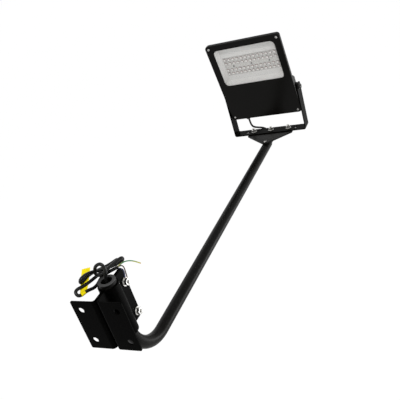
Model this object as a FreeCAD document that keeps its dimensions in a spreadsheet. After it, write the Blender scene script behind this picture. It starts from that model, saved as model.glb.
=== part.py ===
import FreeCAD, Part
import math
import os
import re

import Sketcher

# Sign floodlight on a one metre wall arm.
# The origin is the middle of the wall bracket's face on the wall.
# +X points right, +Y away from the wall along the arm, +Z up. Lengths are in millimetres.

SIZES = {
    # wall bracket, two mirrored folded sheets
    "plate_width": (108, "both wall flanges together"),
    "plate_height": (110, "height of every fold of the bracket"),
    "sheet": (3, "thickness of the folded sheet"),
    "half_gap": (1, "from the middle plane to each half"),
    "fold_radius": (8, "outer radius of the fold at the wall"),
    "flange_reach": (95, "wall to the outer edge of the clamp flange"),
    "plate_corner": (3, "corner radius of the sheet"),
    "wall_hole": (12, "diameter of the wall holes"),
    "wall_hole_across": (75, "wall holes, left to right"),
    "wall_hole_up": (70, "wall holes, bottom to top"),
    "clamp_bolt_reach": (87, "wall to the clamp bolts"),
    "clamp_bolt_pitch": (70, "between the two clamp bolts"),
    "clamp_bolt_middle": (-6, "height of the middle of the clamp bolts"),
    # arm
    "pipe_offset": (48.5, "wall to the axis of the clamped sleeve"),
    "sleeve_outer": (16.85, "outer radius of the sleeve"),
    "sleeve_wall": (2.25, "wall of the sleeve"),
    "sleeve_rise": (7, "sleeve above the bracket"),
    "sleeve_drop": (5, "sleeve below the bracket"),
    "swivel_clearance": (0.08, "between the sleeve and the bracket"),
    "tube_outer": (13.45, "outer radius of the arm tube"),
    "tube_wall": (2.6, "wall of the arm tube"),
    "bend_radius": (90, "middle line of the arm's bend"),
    "arm_drop": (136.75, "wall plate's middle down to the arm's axis"),
    "arm_end_back": (56, "yoke's middle back to the open end of the arm tube"),
    "bush_lip": (2, "lip of the bush on the sleeve"),
    "bush_depth": (14, "bush inside the sleeve"),
    "bush_round": (0.9, "rounding of the bush's lip"),
    "fit_gap": (0.05, "gap between pieces that seat on each other"),
    # fishtail bracket at the arm's end
    "fishtail_sheet": (4, "thickness of the fishtail plate"),
    "fishtail_half": (75, "half width of the fishtail under the yoke"),
    "fishtail_shoulder": (25, "yoke's middle to where the fishtail starts to narrow"),
    "fishtail_tip": (91, "yoke's middle to the fishtail's rounded tip"),
    "fishtail_tip_round": (15, "radius of the fishtail's tip"),
    "spigot_outer": (10.65, "outer radius of the spigot tube"),
    "spigot_wall": (2.4, "wall of the spigot tube"),
    "spigot_in": (55, "spigot inside the arm tube"),
    "rib_half": (4, "half thickness of the rib under the fishtail"),
    "rib_back": (10, "yoke's middle back to the end of the rib and the spigot"),
    "lock_screw_back": (23, "arm tube's end to the locking screw"),
    "lock_screw": (2.5, "shank radius of the locking screw"),
    "lock_screw_head": (5, "head radius of the locking screw"),
    "lock_screw_head_depth": (2.5, "head height of the locking screw"),
    # yoke
    "yoke_sheet": (3, "thickness of the yoke strip"),
    "yoke_width": (40, "width of the yoke strip"),
    "yoke_bend": (6, "outer radius of the yoke's corners"),
    "yoke_overhang": (12, "yoke above the tilt axis"),
    "yoke_end_round": (10, "corner radius of the yoke's upper ends"),
    "yoke_reach": (1041, "wall to the tilt axis"),
    "tilt_height": (17.5, "tilt axis above the wall plate's middle"),
    "yoke_bolt_pitch": (59, "between the three bolts in the crossbar"),
    "spare_hole_across": (164, "between the two spare holes in the crossbar"),
    "yoke_gap": (1, "side of the front frame to the inner face of a yoke arm"),
    "yoke_hole": (4.5, "radius of the bolt holes in the sheets"),
    "pivot_play": (0.05, "yoke to the pivot bolt"),
    # M8 fasteners
    "bolt_shank": (4, "radius of an M8 shank"),
    "bolt_head": (13, "across the flats of an M8 head or nut"),
    "head_depth": (5.3, "height of an M8 head"),
    "nut_depth": (6.5, "height of an M8 nut"),
    "washer_outer": (8.5, "outer radius of an M8 washer"),
    "washer_depth": (1.6, "thickness of an M8 washer"),
    "thread_end": (4, "bolt that stands out of its nut"),
    # lamp head, in its own frame with the tilt axis at the origin
    "head_tilt": (13.9, "degrees that the face leans towards the wall"),
    "head_width": (234, "width of the front frame"),
    "head_height": (278, "height of the front frame"),
    "head_corner": (10, "corner radius of the front frame"),
    "face_depth": (28.2, "tilt axis to the plane of the face"),
    "face_middle": (63.6, "tilt axis up to the middle of the face"),
    "frame_depth": (7, "thickness of the front frame"),
    "frame_edge": (1.5, "rounding of the front frame's edge"),
    "window_side": (21, "side of the front frame to the clear window"),
    "window_height": (128, "clear window"),
    "window_top": (18.7, "top of the front frame down to the clear window"),
    "window_corner": (14, "corner radius of the window"),
    "glass_lip": (2.5, "frame in front of the glass"),
    "glass_sheet": (4, "thickness of the glass"),
    "glass_margin": (6, "glass held behind the frame on each side"),
    "glass_play": (0.5, "glass to the frame on each side"),
    "gasket_sheet": (2, "thickness of the seal behind the frame"),
    "gasket_inset": (3, "edge of the frame to the seal"),
    "gasket_band": (11, "width of the seal"),
    "screw_inset": (10.5, "corner screws to the edges of the frame"),
    "screw_shank": (2, "radius of a corner screw"),
    "screw_head": (3.8, "head radius of a corner screw"),
    "screw_head_depth": (2.4, "head height of a corner screw"),
    "screw_length": (11, "corner screw below its head"),
    "housing_rim": (5, "thickness of the housing's rim"),
    "rim_inset": (1.5, "frame's edge to the rim's edge"),
    "housing_wall": (4, "wall of the cast housing"),
    "optic_side": (11, "side of the front frame to the side of the lamp chamber"),
    "optic_depth": (33, "face to the back of the lamp chamber"),
    "optic_draft": (-25, "degrees that the lamp chamber narrows to its back"),
    "optic_below": (8.9, "clear window down to the foot of the lamp chamber"),
    "optic_above": (6.6, "top of the front frame down to the top of the lamp chamber"),
    "driver_side": (8, "side of the front frame to the side of the driver chamber"),
    "driver_depth": (50, "face to the back of the driver chamber"),
    "driver_below": (4.4, "foot of the front frame up to the foot of the driver chamber"),
    "driver_slope": (26, "cut off the top back edge of the driver chamber, each way"),
    "chamber_lap": (3, "driver chamber above the foot of the lamp chamber"),
    "fin_depth": (15, "fins behind the lamp chamber"),
    "fin_sheet": (3, "thickness of a fin"),
    "fin_side": (20, "side of the lamp chamber to the middle of the outer fin"),
    "fin_above": (20, "top of the lamp chamber down to the top of the fins"),
    "fin_below": (12, "top of the driver chamber down to the foot of the fins"),
    "boss_radius": (14, "boss at the tilt axis"),
    "boss_lap": (15, "side of the driver chamber in to the root of the boss"),
    "boss_gap": (1.7, "yoke to the boss, filled by the friction washer"),
    "friction_outer": (11.2, "outer radius of the friction washer"),
    "pivot_hole_depth": (17, "blind hole in the boss"),
    "pivot_reach": (16.15, "pivot bolt inside the boss"),
    "wire_way_half": (12, "half width of the way for wires between the chambers"),
    "wire_way_depth": (12, "depth of the way for wires between the chambers"),
    "pivot_hole_play": (0.04, "blind hole to the pivot bolt"),
    "tray_sheet": (1, "sheet of the reflector tray"),
    "tray_front": (7.7, "face to the front edge of the tray"),
    "tray_side": (3.5, "front opening of the tray beyond the clear window, each side"),
    "tray_end": (3, "front opening of the tray beyond the clear window, top and foot"),
    "tray_lean": (7.5, "how far each wall of the tray leans in"),
    "lens_side": (10, "clear window to the lens plate, each side"),
    "lens_height": (62, "lens plate"),
    "lens_sheet": (1.2, "lens plate between its lenses"),
    "lens_taper": (-30, "degrees that a lens narrows"),
    "lens_drop": (10.3, "middle of the window down to the middle of the lens plate"),
    "lens_rise": (3, "height of one lens"),
    "lens_long": (9.6, "one lens, along the rows"),
    "lens_tall": (9, "one lens, across the rows"),
    "lens_round": (4.05, "corner radius of a lens"),
    "lens_margin": (5.6, "side of the lens plate to the middle of the outer lens"),
    "row_inner": (11, "middle to the two inner rows"),
    "row_outer": (24.5, "middle to the two outer rows"),
    "board_margin": (12, "lamp board beyond the lens plate on each side"),
    "board_sheet": (1.6, "lamp board"),
    "chip_size": (3.5, "one light emitter"),
    "chip_rise": (0.8, "height of one light emitter"),
    "lens_screw_pitch": (58, "between the three screws in the lens plate"),
    "lens_screw": (1.5, "shank radius of a lens screw"),
    "lens_screw_head": (2.7, "head radius of a lens screw"),
    "lens_screw_head_depth": (1.5, "head height of a lens screw"),
    "lens_screw_in": (2.4, "lens screw inside the housing"),
    "lens_screw_hole": (2.8, "depth of the holes for the lens screws"),
    "driver_box_side": (25, "side of the driver chamber to the power supply"),
    "driver_box_foot": (15, "foot of the driver chamber to the power supply"),
    "driver_box_top": (28, "top of the driver chamber to the power supply"),
    "driver_box_depth": (28, "power supply"),
    "gland_side": (45, "side of the front frame to the axis of the gland"),
    "gland_depth": (22.5, "face to the axis of the gland"),
    "gland_thread": (8, "radius of the gland's thread"),
    "gland_hex": (19, "across the flats of the gland"),
    "gland_foot": (4.6, "hexagon of the gland"),
    "gland_seat": (3.4, "seat of the gland below the driver chamber"),
    "gland_seat_radius": (13, "seat of the gland"),
    "gland_nut": (3, "thickness of the nut inside"),
    "gland_thread_end": (4.5, "thread above the floor of the driver chamber"),
    "gland_dome": (11, "dome nut of the gland"),
    "gland_dome_radius": (8.6, "radius of the dome nut"),
    "gland_collar": (7.7, "wider part of the dome nut"),
    "gland_tip": (6.88, "radius of the dome nut's tip"),
    # cable
    "cable_radius": (3.1, "outer radius of the cable"),
    "core_radius": (1.1, "outer radius of one core"),
    "lead_start": (14, "head lead inside the driver chamber"),
    "lead_drop": (8, "gland's end to the first corner of the head lead"),
}

LENS_COUNT = 13
FIN_COUNT = 14
LENS_ROWS = ("row_outer", "row_inner", "(0 - row_inner)", "(0 - row_outer)")
# The fishtail's tip takes this part of its circle's half width where the straight edges meet it.
TIP_SINE = 0.7
# The part of the shorter run that a cable's bend takes on each side of its corner.
BEND_SHARE = 0.45
PLACE_STEP = 0.01
PARALLEL = 0.9999

doc = FreeCAD.newDocument("sign_floodlight")
sheet = doc.addObject("Spreadsheet::Sheet", "Sizes")
for row, (alias, (number, note)) in enumerate(SIZES.items(), start=1):
    sheet.set("A%d" % row, note)
    sheet.set("B%d" % row, str(number))
    sheet.setAlias("B%d" % row, alias)
doc.recompute()

nodes = {}


# Formulas on the sheet

def bind(formula):
    """Turns a formula on size names into an expression on the sheet's cells."""
    def cell(match):
        word = match.group()
        return "Sizes." + word if word in SIZES else word
    return re.sub(r"[a-z][a-z_]*", cell, str(formula))


def number_of(formula):
    """The present value of a formula on size names."""
    return float(sheet.evalExpression(bind(formula)))


def link(thing, path, formula):
    """Binds one property of an object to a formula."""
    thing.setExpression(path, bind(formula))


# Sketches

def origin_plane(body, role):
    return [feature for feature in body.Origin.OriginFeatures if feature.Role == role][0]


def new_body(label):
    body = doc.addObject("PartDesign::Body", label)
    body.Label = label
    nodes[label] = body
    return body


def new_sketch(body, role, lift="0"):
    """A sketch on one of the body's own planes, lifted along the plane's normal."""
    drawing = body.newObject("Sketcher::SketchObject", body.Name + "_sketch")
    drawing.AttachmentSupport = (origin_plane(body, role), [""])
    drawing.MapMode = "FlatFace"
    if lift != "0":
        link(drawing, "AttachmentOffset.Base.z", lift)
    doc.recompute()
    return drawing


def fix_point(drawing, curve, end, across, up):
    """Holds one end of a curve at a point given by two formulas."""
    ways = (("DistanceX", across), ("DistanceY", up))
    for way, formula in ways:
        index = drawing.addConstraint(
            Sketcher.Constraint(way, -1, 1, curve, end, number_of(formula)))
        link(drawing, "Constraints[%d]" % index, formula)


def arc_between(start, end, radius, turn):
    """The minor arc from start to end; turn is 1 to the left and -1 to the right."""
    middle = (start + end) * 0.5
    chord = end - start
    rise = math.sqrt(max(radius ** 2 - chord.Length ** 2 / 4, 0))
    aside = FreeCAD.Vector(-chord.y, chord.x, 0).normalize()
    centre = middle + aside * (rise * turn)
    first, last = (start, end) if turn > 0 else (end, start)
    angles = [math.atan2(point.y - centre.y, point.x - centre.x) for point in (first, last)]
    if angles[1] < angles[0]:
        angles[1] += 2 * math.pi
    circle = Part.Circle(centre, FreeCAD.Vector(0, 0, 1), radius)
    return Part.ArcOfCircle(circle, angles[0], angles[1])


def draw_outline(drawing, corners):
    """A closed outline. A corner is (across, up), or (across, up, radius, turn) where
    an arc runs from it to the next corner."""
    points = [FreeCAD.Vector(number_of(corner[0]), number_of(corner[1]), 0) for corner in corners]
    ends = []
    for index, corner in enumerate(corners):
        start = points[index]
        end = points[(index + 1) % len(points)]
        if len(corner) == 2:
            curve = drawing.addGeometry(Part.LineSegment(start, end))
            ends.append((curve, 1, 2))
        else:
            radius, turn = corner[2], corner[3]
            arc = arc_between(start, end, number_of(radius), turn)
            curve = drawing.addGeometry(arc)
            ends.append((curve, 1, 2) if turn > 0 else (curve, 2, 1))
            index_of_radius = drawing.addConstraint(
                Sketcher.Constraint("Radius", curve, number_of(radius)))
            link(drawing, "Constraints[%d]" % index_of_radius, radius)
    for index, corner in enumerate(corners):
        curve, first, last = ends[index]
        following, first_of_next, _ = ends[(index + 1) % len(ends)]
        fix_point(drawing, curve, first, corner[0], corner[1])
        drawing.addConstraint(
            Sketcher.Constraint("Coincident", curve, last, following, first_of_next))


def draw_box(drawing, left, right, low, high):
    draw_outline(drawing, [(left, low), (right, low), (right, high), (left, high)])


def draw_round_box(drawing, left, right, low, high, radius):
    """A rectangle whose four corners are quarter circles."""
    radius = "(%s)" % radius
    draw_outline(drawing, [
        ("%s + %s" % (left, radius), low),
        ("%s - %s" % (right, radius), low, radius, 1),
        (right, "%s + %s" % (low, radius)),
        (right, "%s - %s" % (high, radius), radius, 1),
        ("%s - %s" % (right, radius), high),
        ("%s + %s" % (left, radius), high, radius, 1),
        (left, "%s - %s" % (high, radius)),
        (left, "%s + %s" % (low, radius), radius, 1),
    ])


def draw_circle(drawing, across, up, radius):
    centre = FreeCAD.Vector(number_of(across), number_of(up), 0)
    curve = drawing.addGeometry(
        Part.Circle(centre, FreeCAD.Vector(0, 0, 1), number_of(radius)))
    fix_point(drawing, curve, 3, across, up)
    index = drawing.addConstraint(Sketcher.Constraint("Radius", curve, number_of(radius)))
    link(drawing, "Constraints[%d]" % index, radius)


# Features

def pad(body, drawing, length, back=False, both=False, taper=None):
    """Raises a sketch along its normal, against it, or to both sides."""
    feature = body.newObject("PartDesign::Pad", body.Name + "_pad")
    feature.Profile = drawing
    feature.Type = "Length"
    link(feature, "Length", length)
    feature.Reversed = back
    if both:
        feature.SideType = "Symmetric"
    if taper:
        link(feature, "TaperAngle", taper)
    drawing.Visibility = False
    doc.recompute()
    return feature


def pocket(body, drawing, length=None, back=False, both=False, taper=None):
    """Cuts a sketch against its normal; with no length it cuts everything both ways."""
    feature = body.newObject("PartDesign::Pocket", body.Name + "_pocket")
    feature.Profile = drawing
    if length is None:
        feature.Type = "ThroughAll"
        feature.SideType = "Symmetric"
    else:
        feature.Type = "Length"
        link(feature, "Length", length)
        feature.Reversed = back
    if both:
        feature.SideType = "Symmetric"
    if taper:
        link(feature, "TaperAngle", taper)
    volume_before = feature.BaseFeature.Shape.Volume
    doc.recompute()
    if not feature.Shape.Volume < volume_before:
        raise RuntimeError("%s: a pocket cuts nothing" % body.Label)
    return feature


def row_of(body, feature, axis, pitch, count):
    """Repeats a feature along an axis of the body's origin, centred on the feature's place."""
    pattern = body.newObject("PartDesign::LinearPattern", body.Name + "_row")
    pattern.Originals = [feature]
    line = [part for part in body.Origin.OriginFeatures if part.Role == axis][0]
    pattern.Direction = (line, [""])
    pattern.Mode = "Spacing"
    link(pattern, "Offset", pitch)
    pattern.Occurrences = count
    body.Tip = pattern
    doc.recompute()
    return pattern


def round_edges(body, radius, wanted):
    """Fillets the edges of the body's last feature that a test picks."""
    base = body.Tip
    names = ["Edge%d" % (index + 1)
             for index, edge in enumerate(base.Shape.Edges) if wanted(edge)]
    fillet = body.newObject("PartDesign::Fillet", body.Name + "_fillet")
    fillet.Base = (base, names)
    link(fillet, "Radius", radius)
    doc.recompute()
    return fillet


def runs_along(edge, direction):
    """True for a straight edge parallel to a direction."""
    if not isinstance(edge.Curve, (Part.Line, Part.LineSegment)):
        return False
    ends = [vertex.Point for vertex in edge.Vertexes]
    return abs((ends[1] - ends[0]).normalize().dot(direction)) > PARALLEL


X_WAY = FreeCAD.Vector(1, 0, 0)
Y_WAY = FreeCAD.Vector(0, 1, 0)
Z_WAY = FreeCAD.Vector(0, 0, 1)


def near(first, second):
    return abs(first - second) < PLACE_STEP


# Wall bracket

def wall_bracket_half(label, side):
    """One folded sheet: wall flange, web, half shell round the sleeve, clamp flange."""
    body = new_body(label)
    inner = "(sleeve_outer + swivel_clearance)"
    outer = "(sleeve_outer + swivel_clearance + sheet)"
    inner_face = "half_gap"
    outer_face = "(half_gap + sheet)"
    reach_in = "sqrt(%s ^ 2 - %s ^ 2)" % (inner, inner_face)
    reach_out = "sqrt(%s ^ 2 - %s ^ 2)" % (outer, outer_face)
    corners = [
        ("plate_width / 2", "0"),
        ("half_gap + fold_radius", "0", "fold_radius", -1),
        (inner_face, "fold_radius"),
        (inner_face, "pipe_offset - " + reach_in, inner, 1),
        (inner_face, "pipe_offset + " + reach_in),
        (inner_face, "flange_reach"),
        (outer_face, "flange_reach"),
        (outer_face, "pipe_offset + " + reach_out, outer, -1),
        (outer_face, "pipe_offset - " + reach_out),
        (outer_face, "fold_radius", "fold_radius - sheet", 1),
        ("half_gap + fold_radius", "sheet"),
        ("plate_width / 2", "sheet"),
    ]
    turned = []
    for corner in corners:
        across = "(%s) * %d" % (corner[0], side)
        turned.append((across,) + corner[1:3] + (corner[3] * side,) if len(corner) == 4
                      else (across, corner[1]))
    drawing = new_sketch(body, "XY_Plane")
    draw_outline(drawing, turned)
    pad(body, drawing, "plate_height", both=True)
    holes = new_sketch(body, "XZ_Plane")
    for up in (1, -1):
        draw_circle(holes, "wall_hole_across / 2 * %d" % side, "wall_hole_up / 2 * %d" % up,
                    "wall_hole / 2")
    pocket(body, holes)
    bolt_holes = new_sketch(body, "YZ_Plane")
    for up in (1, -1):
        draw_circle(bolt_holes, "clamp_bolt_reach",
                    "clamp_bolt_middle + clamp_bolt_pitch / 2 * %d" % up, "yoke_hole")
    pocket(body, bolt_holes)
    edge_of_plate = number_of("plate_width / 2")
    edge_of_flange = number_of("flange_reach")
    round_edges(body, "plate_corner", lambda edge: (
        (runs_along(edge, Y_WAY) and near(abs(edge.CenterOfMass.x), edge_of_plate))
        or (runs_along(edge, X_WAY) and near(edge.CenterOfMass.y, edge_of_flange))))
    return body


wall_bracket_half("bracket_right", 1)
wall_bracket_half("bracket_left", -1)


# Arm

SLEEVE_TOP = "(plate_height / 2 + sleeve_rise)"
SLEEVE_FOOT = "(plate_height / 2 + sleeve_drop)"
ARM_END = "(yoke_reach - arm_end_back)"
YOKE_INSIDE = "(head_width / 2 + yoke_gap)"


def arm_tube():
    """Bent pipe: a short leg up through the sleeve and the long leg out to the lamp."""
    body = new_body("arm_tube")
    path = new_sketch(body, "YZ_Plane")
    top = FreeCAD.Vector(number_of("pipe_offset"), number_of(SLEEVE_TOP), 0)
    low = FreeCAD.Vector(top.x, number_of("bend_radius - arm_drop"), 0)
    foot = FreeCAD.Vector(number_of("pipe_offset + bend_radius"), number_of("0 - arm_drop"), 0)
    end = FreeCAD.Vector(number_of(ARM_END), foot.y, 0)
    leg = path.addGeometry(Part.LineSegment(top, low))
    bend = path.addGeometry(arc_between(low, foot, number_of("bend_radius"), 1))
    reach = path.addGeometry(Part.LineSegment(foot, end))
    fix_point(path, leg, 1, "pipe_offset", SLEEVE_TOP)
    fix_point(path, leg, 2, "pipe_offset", "bend_radius - arm_drop")
    fix_point(path, reach, 1, "pipe_offset + bend_radius", "0 - arm_drop")
    fix_point(path, reach, 2, ARM_END, "0 - arm_drop")
    path.addConstraint(Sketcher.Constraint("Coincident", leg, 2, bend, 1))
    path.addConstraint(Sketcher.Constraint("Coincident", bend, 2, reach, 1))
    index = path.addConstraint(Sketcher.Constraint("Radius", bend, number_of("bend_radius")))
    link(path, "Constraints[%d]" % index, "bend_radius")
    ring = new_sketch(body, "XY_Plane", SLEEVE_TOP)
    draw_circle(ring, "0", "pipe_offset", "tube_outer")
    draw_circle(ring, "0", "pipe_offset", "tube_outer - tube_wall")
    pipe = body.newObject("PartDesign::AdditivePipe", "arm_tube_pipe")
    pipe.Profile = ring
    pipe.Spine = path
    doc.recompute()
    hole = new_sketch(body, "XY_Plane", "0 - arm_drop")
    draw_circle(hole, "0", ARM_END + " - lock_screw_back", "lock_screw + fit_gap")
    pocket(body, hole, "tube_outer * 2", back=True)
    return body


def ring_body(label, outer, inner, foot, height):
    """A ring round the sleeve's axis."""
    body = new_body(label)
    drawing = new_sketch(body, "XY_Plane", foot)
    draw_circle(drawing, "0", "pipe_offset", outer)
    draw_circle(drawing, "0", "pipe_offset", inner)
    pad(body, drawing, height)
    return body


def arm_sleeve():
    """Larger pipe round the arm's short leg, which the wall bracket clamps."""
    body = ring_body("arm_sleeve", "sleeve_outer", "sleeve_outer - sleeve_wall",
                     "0 - " + SLEEVE_FOOT, SLEEVE_TOP + " + " + SLEEVE_FOOT)
    foot = number_of("0 - " + SLEEVE_FOOT)
    outer = number_of("sleeve_outer")
    round_edges(body, "sleeve_wall / 2", lambda edge: (
        isinstance(edge.Curve, Part.Circle) and near(edge.CenterOfMass.z, foot)
        and near(edge.Curve.Radius, outer)))
    return body


def end_bush():
    """Bush in the mouth of the sleeve, with a lip over both tubes and a smooth way out."""
    body = new_body("end_bush")
    collar = new_sketch(body, "XY_Plane", SLEEVE_TOP + " + fit_gap")
    draw_circle(collar, "0", "pipe_offset", "sleeve_outer")
    draw_circle(collar, "0", "pipe_offset", "tube_outer - tube_wall")
    pad(body, collar, "bush_lip")
    skirt = new_sketch(body, "XY_Plane", SLEEVE_TOP + " + fit_gap")
    draw_circle(skirt, "0", "pipe_offset", "sleeve_outer - sleeve_wall - fit_gap")
    draw_circle(skirt, "0", "pipe_offset", "tube_outer + fit_gap")
    pad(body, skirt, "bush_depth", back=True)
    top = number_of(SLEEVE_TOP + " + fit_gap + bush_lip")
    round_edges(body, "bush_round", lambda edge: (
        isinstance(edge.Curve, Part.Circle) and near(edge.CenterOfMass.z, top)))
    return body


arm_tube()
arm_sleeve()
end_bush()


# Fishtail bracket

FISHTAIL_FOOT = "(tube_outer + fit_gap - arm_drop)"
FISHTAIL_TOP = "(tube_outer + fit_gap + fishtail_sheet - arm_drop)"
CROSSBAR_TOP = "(tube_outer + fit_gap * 2 + fishtail_sheet + yoke_sheet - arm_drop)"


def fishtail_bracket():
    """Fishtail plate, a rib under it and the spigot that plugs into the arm tube."""
    body = new_body("fishtail_bracket")
    plate = new_sketch(body, "XY_Plane", FISHTAIL_FOOT)
    back = "yoke_reach + yoke_width / 2"
    shoulder = "yoke_reach - fishtail_shoulder"
    tip = "yoke_reach - fishtail_tip + fishtail_tip_round * (1 - sqrt(1 - %g ^ 2))" % TIP_SINE
    draw_outline(plate, [
        ("fishtail_half", shoulder),
        ("fishtail_half", back),
        ("0 - fishtail_half", back),
        ("0 - fishtail_half", shoulder),
        ("0 - fishtail_tip_round * %g" % TIP_SINE, tip, "fishtail_tip_round", 1),
        ("fishtail_tip_round * %g" % TIP_SINE, tip),
    ])
    pad(body, plate, "fishtail_sheet")
    holes = new_sketch(body, "XY_Plane", FISHTAIL_FOOT)
    for step in (-1, 0, 1):
        draw_circle(holes, "yoke_bolt_pitch * %d" % step, "yoke_reach", "yoke_hole")
    draw_circle(holes, "0", ARM_END + " - lock_screw_back", "lock_screw + fit_gap")
    pocket(body, holes)
    rib = new_sketch(body, "YZ_Plane")
    draw_outline(rib, [
        (ARM_END + " + fit_gap", "0 - arm_drop"),
        ("yoke_reach - rib_back", "0 - arm_drop"),
        ("yoke_reach - rib_back", FISHTAIL_FOOT),
        (ARM_END + " + fit_gap", FISHTAIL_FOOT),
    ])
    pad(body, rib, "rib_half * 2", both=True)
    spigot = new_sketch(body, "XZ_Plane", "spigot_in - " + ARM_END)
    draw_circle(spigot, "0", "0 - arm_drop", "spigot_outer")
    pad(body, spigot, "arm_end_back - rib_back + spigot_in", back=True)
    bore = new_sketch(body, "XZ_Plane", "spigot_in - " + ARM_END)
    draw_circle(bore, "0", "0 - arm_drop", "spigot_outer - spigot_wall")
    pocket(body, bore, "arm_end_back - rib_back + spigot_in")
    thread = new_sketch(body, "XY_Plane", "0 - arm_drop")
    draw_circle(thread, "0", ARM_END + " - lock_screw_back", "lock_screw + fit_gap")
    pocket(body, thread, "tube_outer", back=True)
    return body


# Yoke

def yoke():
    """Bent strip: a crossbar on the fishtail and two arms up to the tilt axis."""
    body = new_body("yoke")
    outside = "(%s + yoke_sheet)" % YOKE_INSIDE
    foot = "(%s - yoke_sheet)" % CROSSBAR_TOP
    top = "(tilt_height + yoke_overhang)"
    side = new_sketch(body, "XZ_Plane", "0 - yoke_reach")
    draw_outline(side, [
        ("yoke_bend - " + outside, foot),
        (outside + " - yoke_bend", foot, "yoke_bend", 1),
        (outside, foot + " + yoke_bend"),
        (outside, top),
        (outside + " - yoke_sheet", top),
        (outside + " - yoke_sheet", foot + " + yoke_bend", "yoke_bend - yoke_sheet", -1),
        (outside + " - yoke_bend", foot + " + yoke_sheet"),
        ("yoke_bend - " + outside, foot + " + yoke_sheet", "yoke_bend - yoke_sheet", -1),
        ("yoke_sheet - " + outside, foot + " + yoke_bend"),
        ("yoke_sheet - " + outside, top),
        ("0 - " + outside, top),
        ("0 - " + outside, foot + " + yoke_bend", "yoke_bend", 1),
    ])
    pad(body, side, "yoke_width", both=True)
    pivots = new_sketch(body, "YZ_Plane")
    draw_circle(pivots, "yoke_reach", "tilt_height", "bolt_shank + pivot_play")
    pocket(body, pivots)
    holes = new_sketch(body, "XY_Plane")
    for step in (-1, 0, 1):
        draw_circle(holes, "yoke_bolt_pitch * %d" % step, "yoke_reach", "yoke_hole")
    for step in (-1, 1):
        draw_circle(holes, "spare_hole_across / 2 * %d" % step, "yoke_reach", "yoke_hole")
    pocket(body, holes)
    height = number_of(top)
    round_edges(body, "yoke_end_round", lambda edge: (
        runs_along(edge, X_WAY) and near(edge.CenterOfMass.z, height)))
    return body


yoke()
fishtail_bracket()


# Fasteners. An axis is the rotation that turns +Z to it.

AXIS_UP = FreeCAD.Rotation()
AXIS_RIGHT = FreeCAD.Rotation(Y_WAY, 90)
AXIS_LEFT = FreeCAD.Rotation(Y_WAY, -90)
AXIS_BACK = FreeCAD.Rotation(X_WAY, -90)


def primitive(kind, place, axis, **sizes):
    """A solid primitive whose sizes and place are formulas."""
    solid = doc.addObject("Part::" + kind, kind)
    for size, formula in sizes.items():
        link(solid, size, formula)
    solid.Placement.Rotation = axis
    for letter, formula in zip("xyz", place):
        link(solid, "Placement.Base." + letter, formula)
    return solid


def cylinder(place, axis, radius, height):
    return primitive("Cylinder", place, axis, Radius=radius, Height=height)


def hexagon(place, axis, flats, height):
    solid = primitive("Prism", place, axis, Circumradius="%s / sqrt(3)" % flats, Height=height)
    solid.Polygon = 6
    return solid


def fused(*solids):
    union = doc.addObject("Part::MultiFuse", "Fused")
    union.Shapes = list(solids)
    return union


def cut(base, tool):
    difference = doc.addObject("Part::Cut", "Cut")
    difference.Base = base
    difference.Tool = tool
    return difference


def grouped(label, members):
    """One node made of several loose pieces."""
    group = doc.addObject("Part::Compound", label)
    group.Label = label
    group.Links = members
    nodes[label] = group
    return group


def moved(place, axis_letter, distance):
    """A place shifted along one axis by a formula."""
    shifted = list(place)
    index = "xyz".index(axis_letter)
    shifted[index] = "%s + %s" % (shifted[index], distance)
    return tuple(shifted)


def hex_bolt(seat, axis, letter, sign, length):
    """A hexagon bolt. The seat is the middle of the underside of its head."""
    head_from = moved(seat, letter, "head_depth * %d" % -sign)
    return fused(hexagon(head_from, axis, "bolt_head", "head_depth"),
                 cylinder(seat, axis, "bolt_shank", length))


def ring(place, axis, outer, inner, depth):
    return cut(cylinder(place, axis, outer, depth), cylinder(place, axis, inner, depth))


def hex_nut(place, axis, depth):
    return cut(hexagon(place, axis, "bolt_head", depth),
               cylinder(place, axis, "bolt_shank", depth))


def clamp_fasteners():
    """Two bolts that clamp the bracket's flanges, heads on the left, nuts on the right."""
    bolts, washers, nuts = [], [], []
    face = "(half_gap + sheet)"
    for up in (1, -1):
        level = "clamp_bolt_middle + clamp_bolt_pitch / 2 * %d" % up
        seat = ("0 - %s - washer_depth" % face, "clamp_bolt_reach", level)
        grip = "(%s + washer_depth) * 2 + nut_depth + thread_end" % face
        bolts.append(hex_bolt(seat, AXIS_RIGHT, "x", 1, grip))
        washers.append(ring(seat, AXIS_RIGHT, "washer_outer", "bolt_shank", "washer_depth"))
        right = (face, "clamp_bolt_reach", level)
        washers.append(ring(right, AXIS_RIGHT, "washer_outer", "bolt_shank", "washer_depth"))
        nuts.append(hex_nut(moved(right, "x", "washer_depth"), AXIS_RIGHT, "nut_depth"))
    grouped("clamp_bolts", bolts)
    grouped("clamp_washers", washers)
    grouped("clamp_nuts", nuts)


def yoke_fasteners():
    """Three bolts up through the fishtail and the crossbar."""
    bolts, washers, nuts = [], [], []
    for step in (-1, 0, 1):
        across = "yoke_bolt_pitch * %d" % step
        seat = (across, "yoke_reach", FISHTAIL_FOOT)
        grip = ("fishtail_sheet + fit_gap + yoke_sheet + washer_depth + nut_depth"
                " + thread_end")
        bolts.append(hex_bolt(seat, AXIS_UP, "z", 1, grip))
        top = (across, "yoke_reach", CROSSBAR_TOP)
        washers.append(ring(top, AXIS_UP, "washer_outer", "bolt_shank", "washer_depth"))
        nuts.append(hex_nut(moved(top, "z", "washer_depth"), AXIS_UP, "nut_depth"))
    grouped("yoke_bolts", bolts)
    grouped("yoke_washers", washers)
    grouped("yoke_nuts", nuts)


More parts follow.
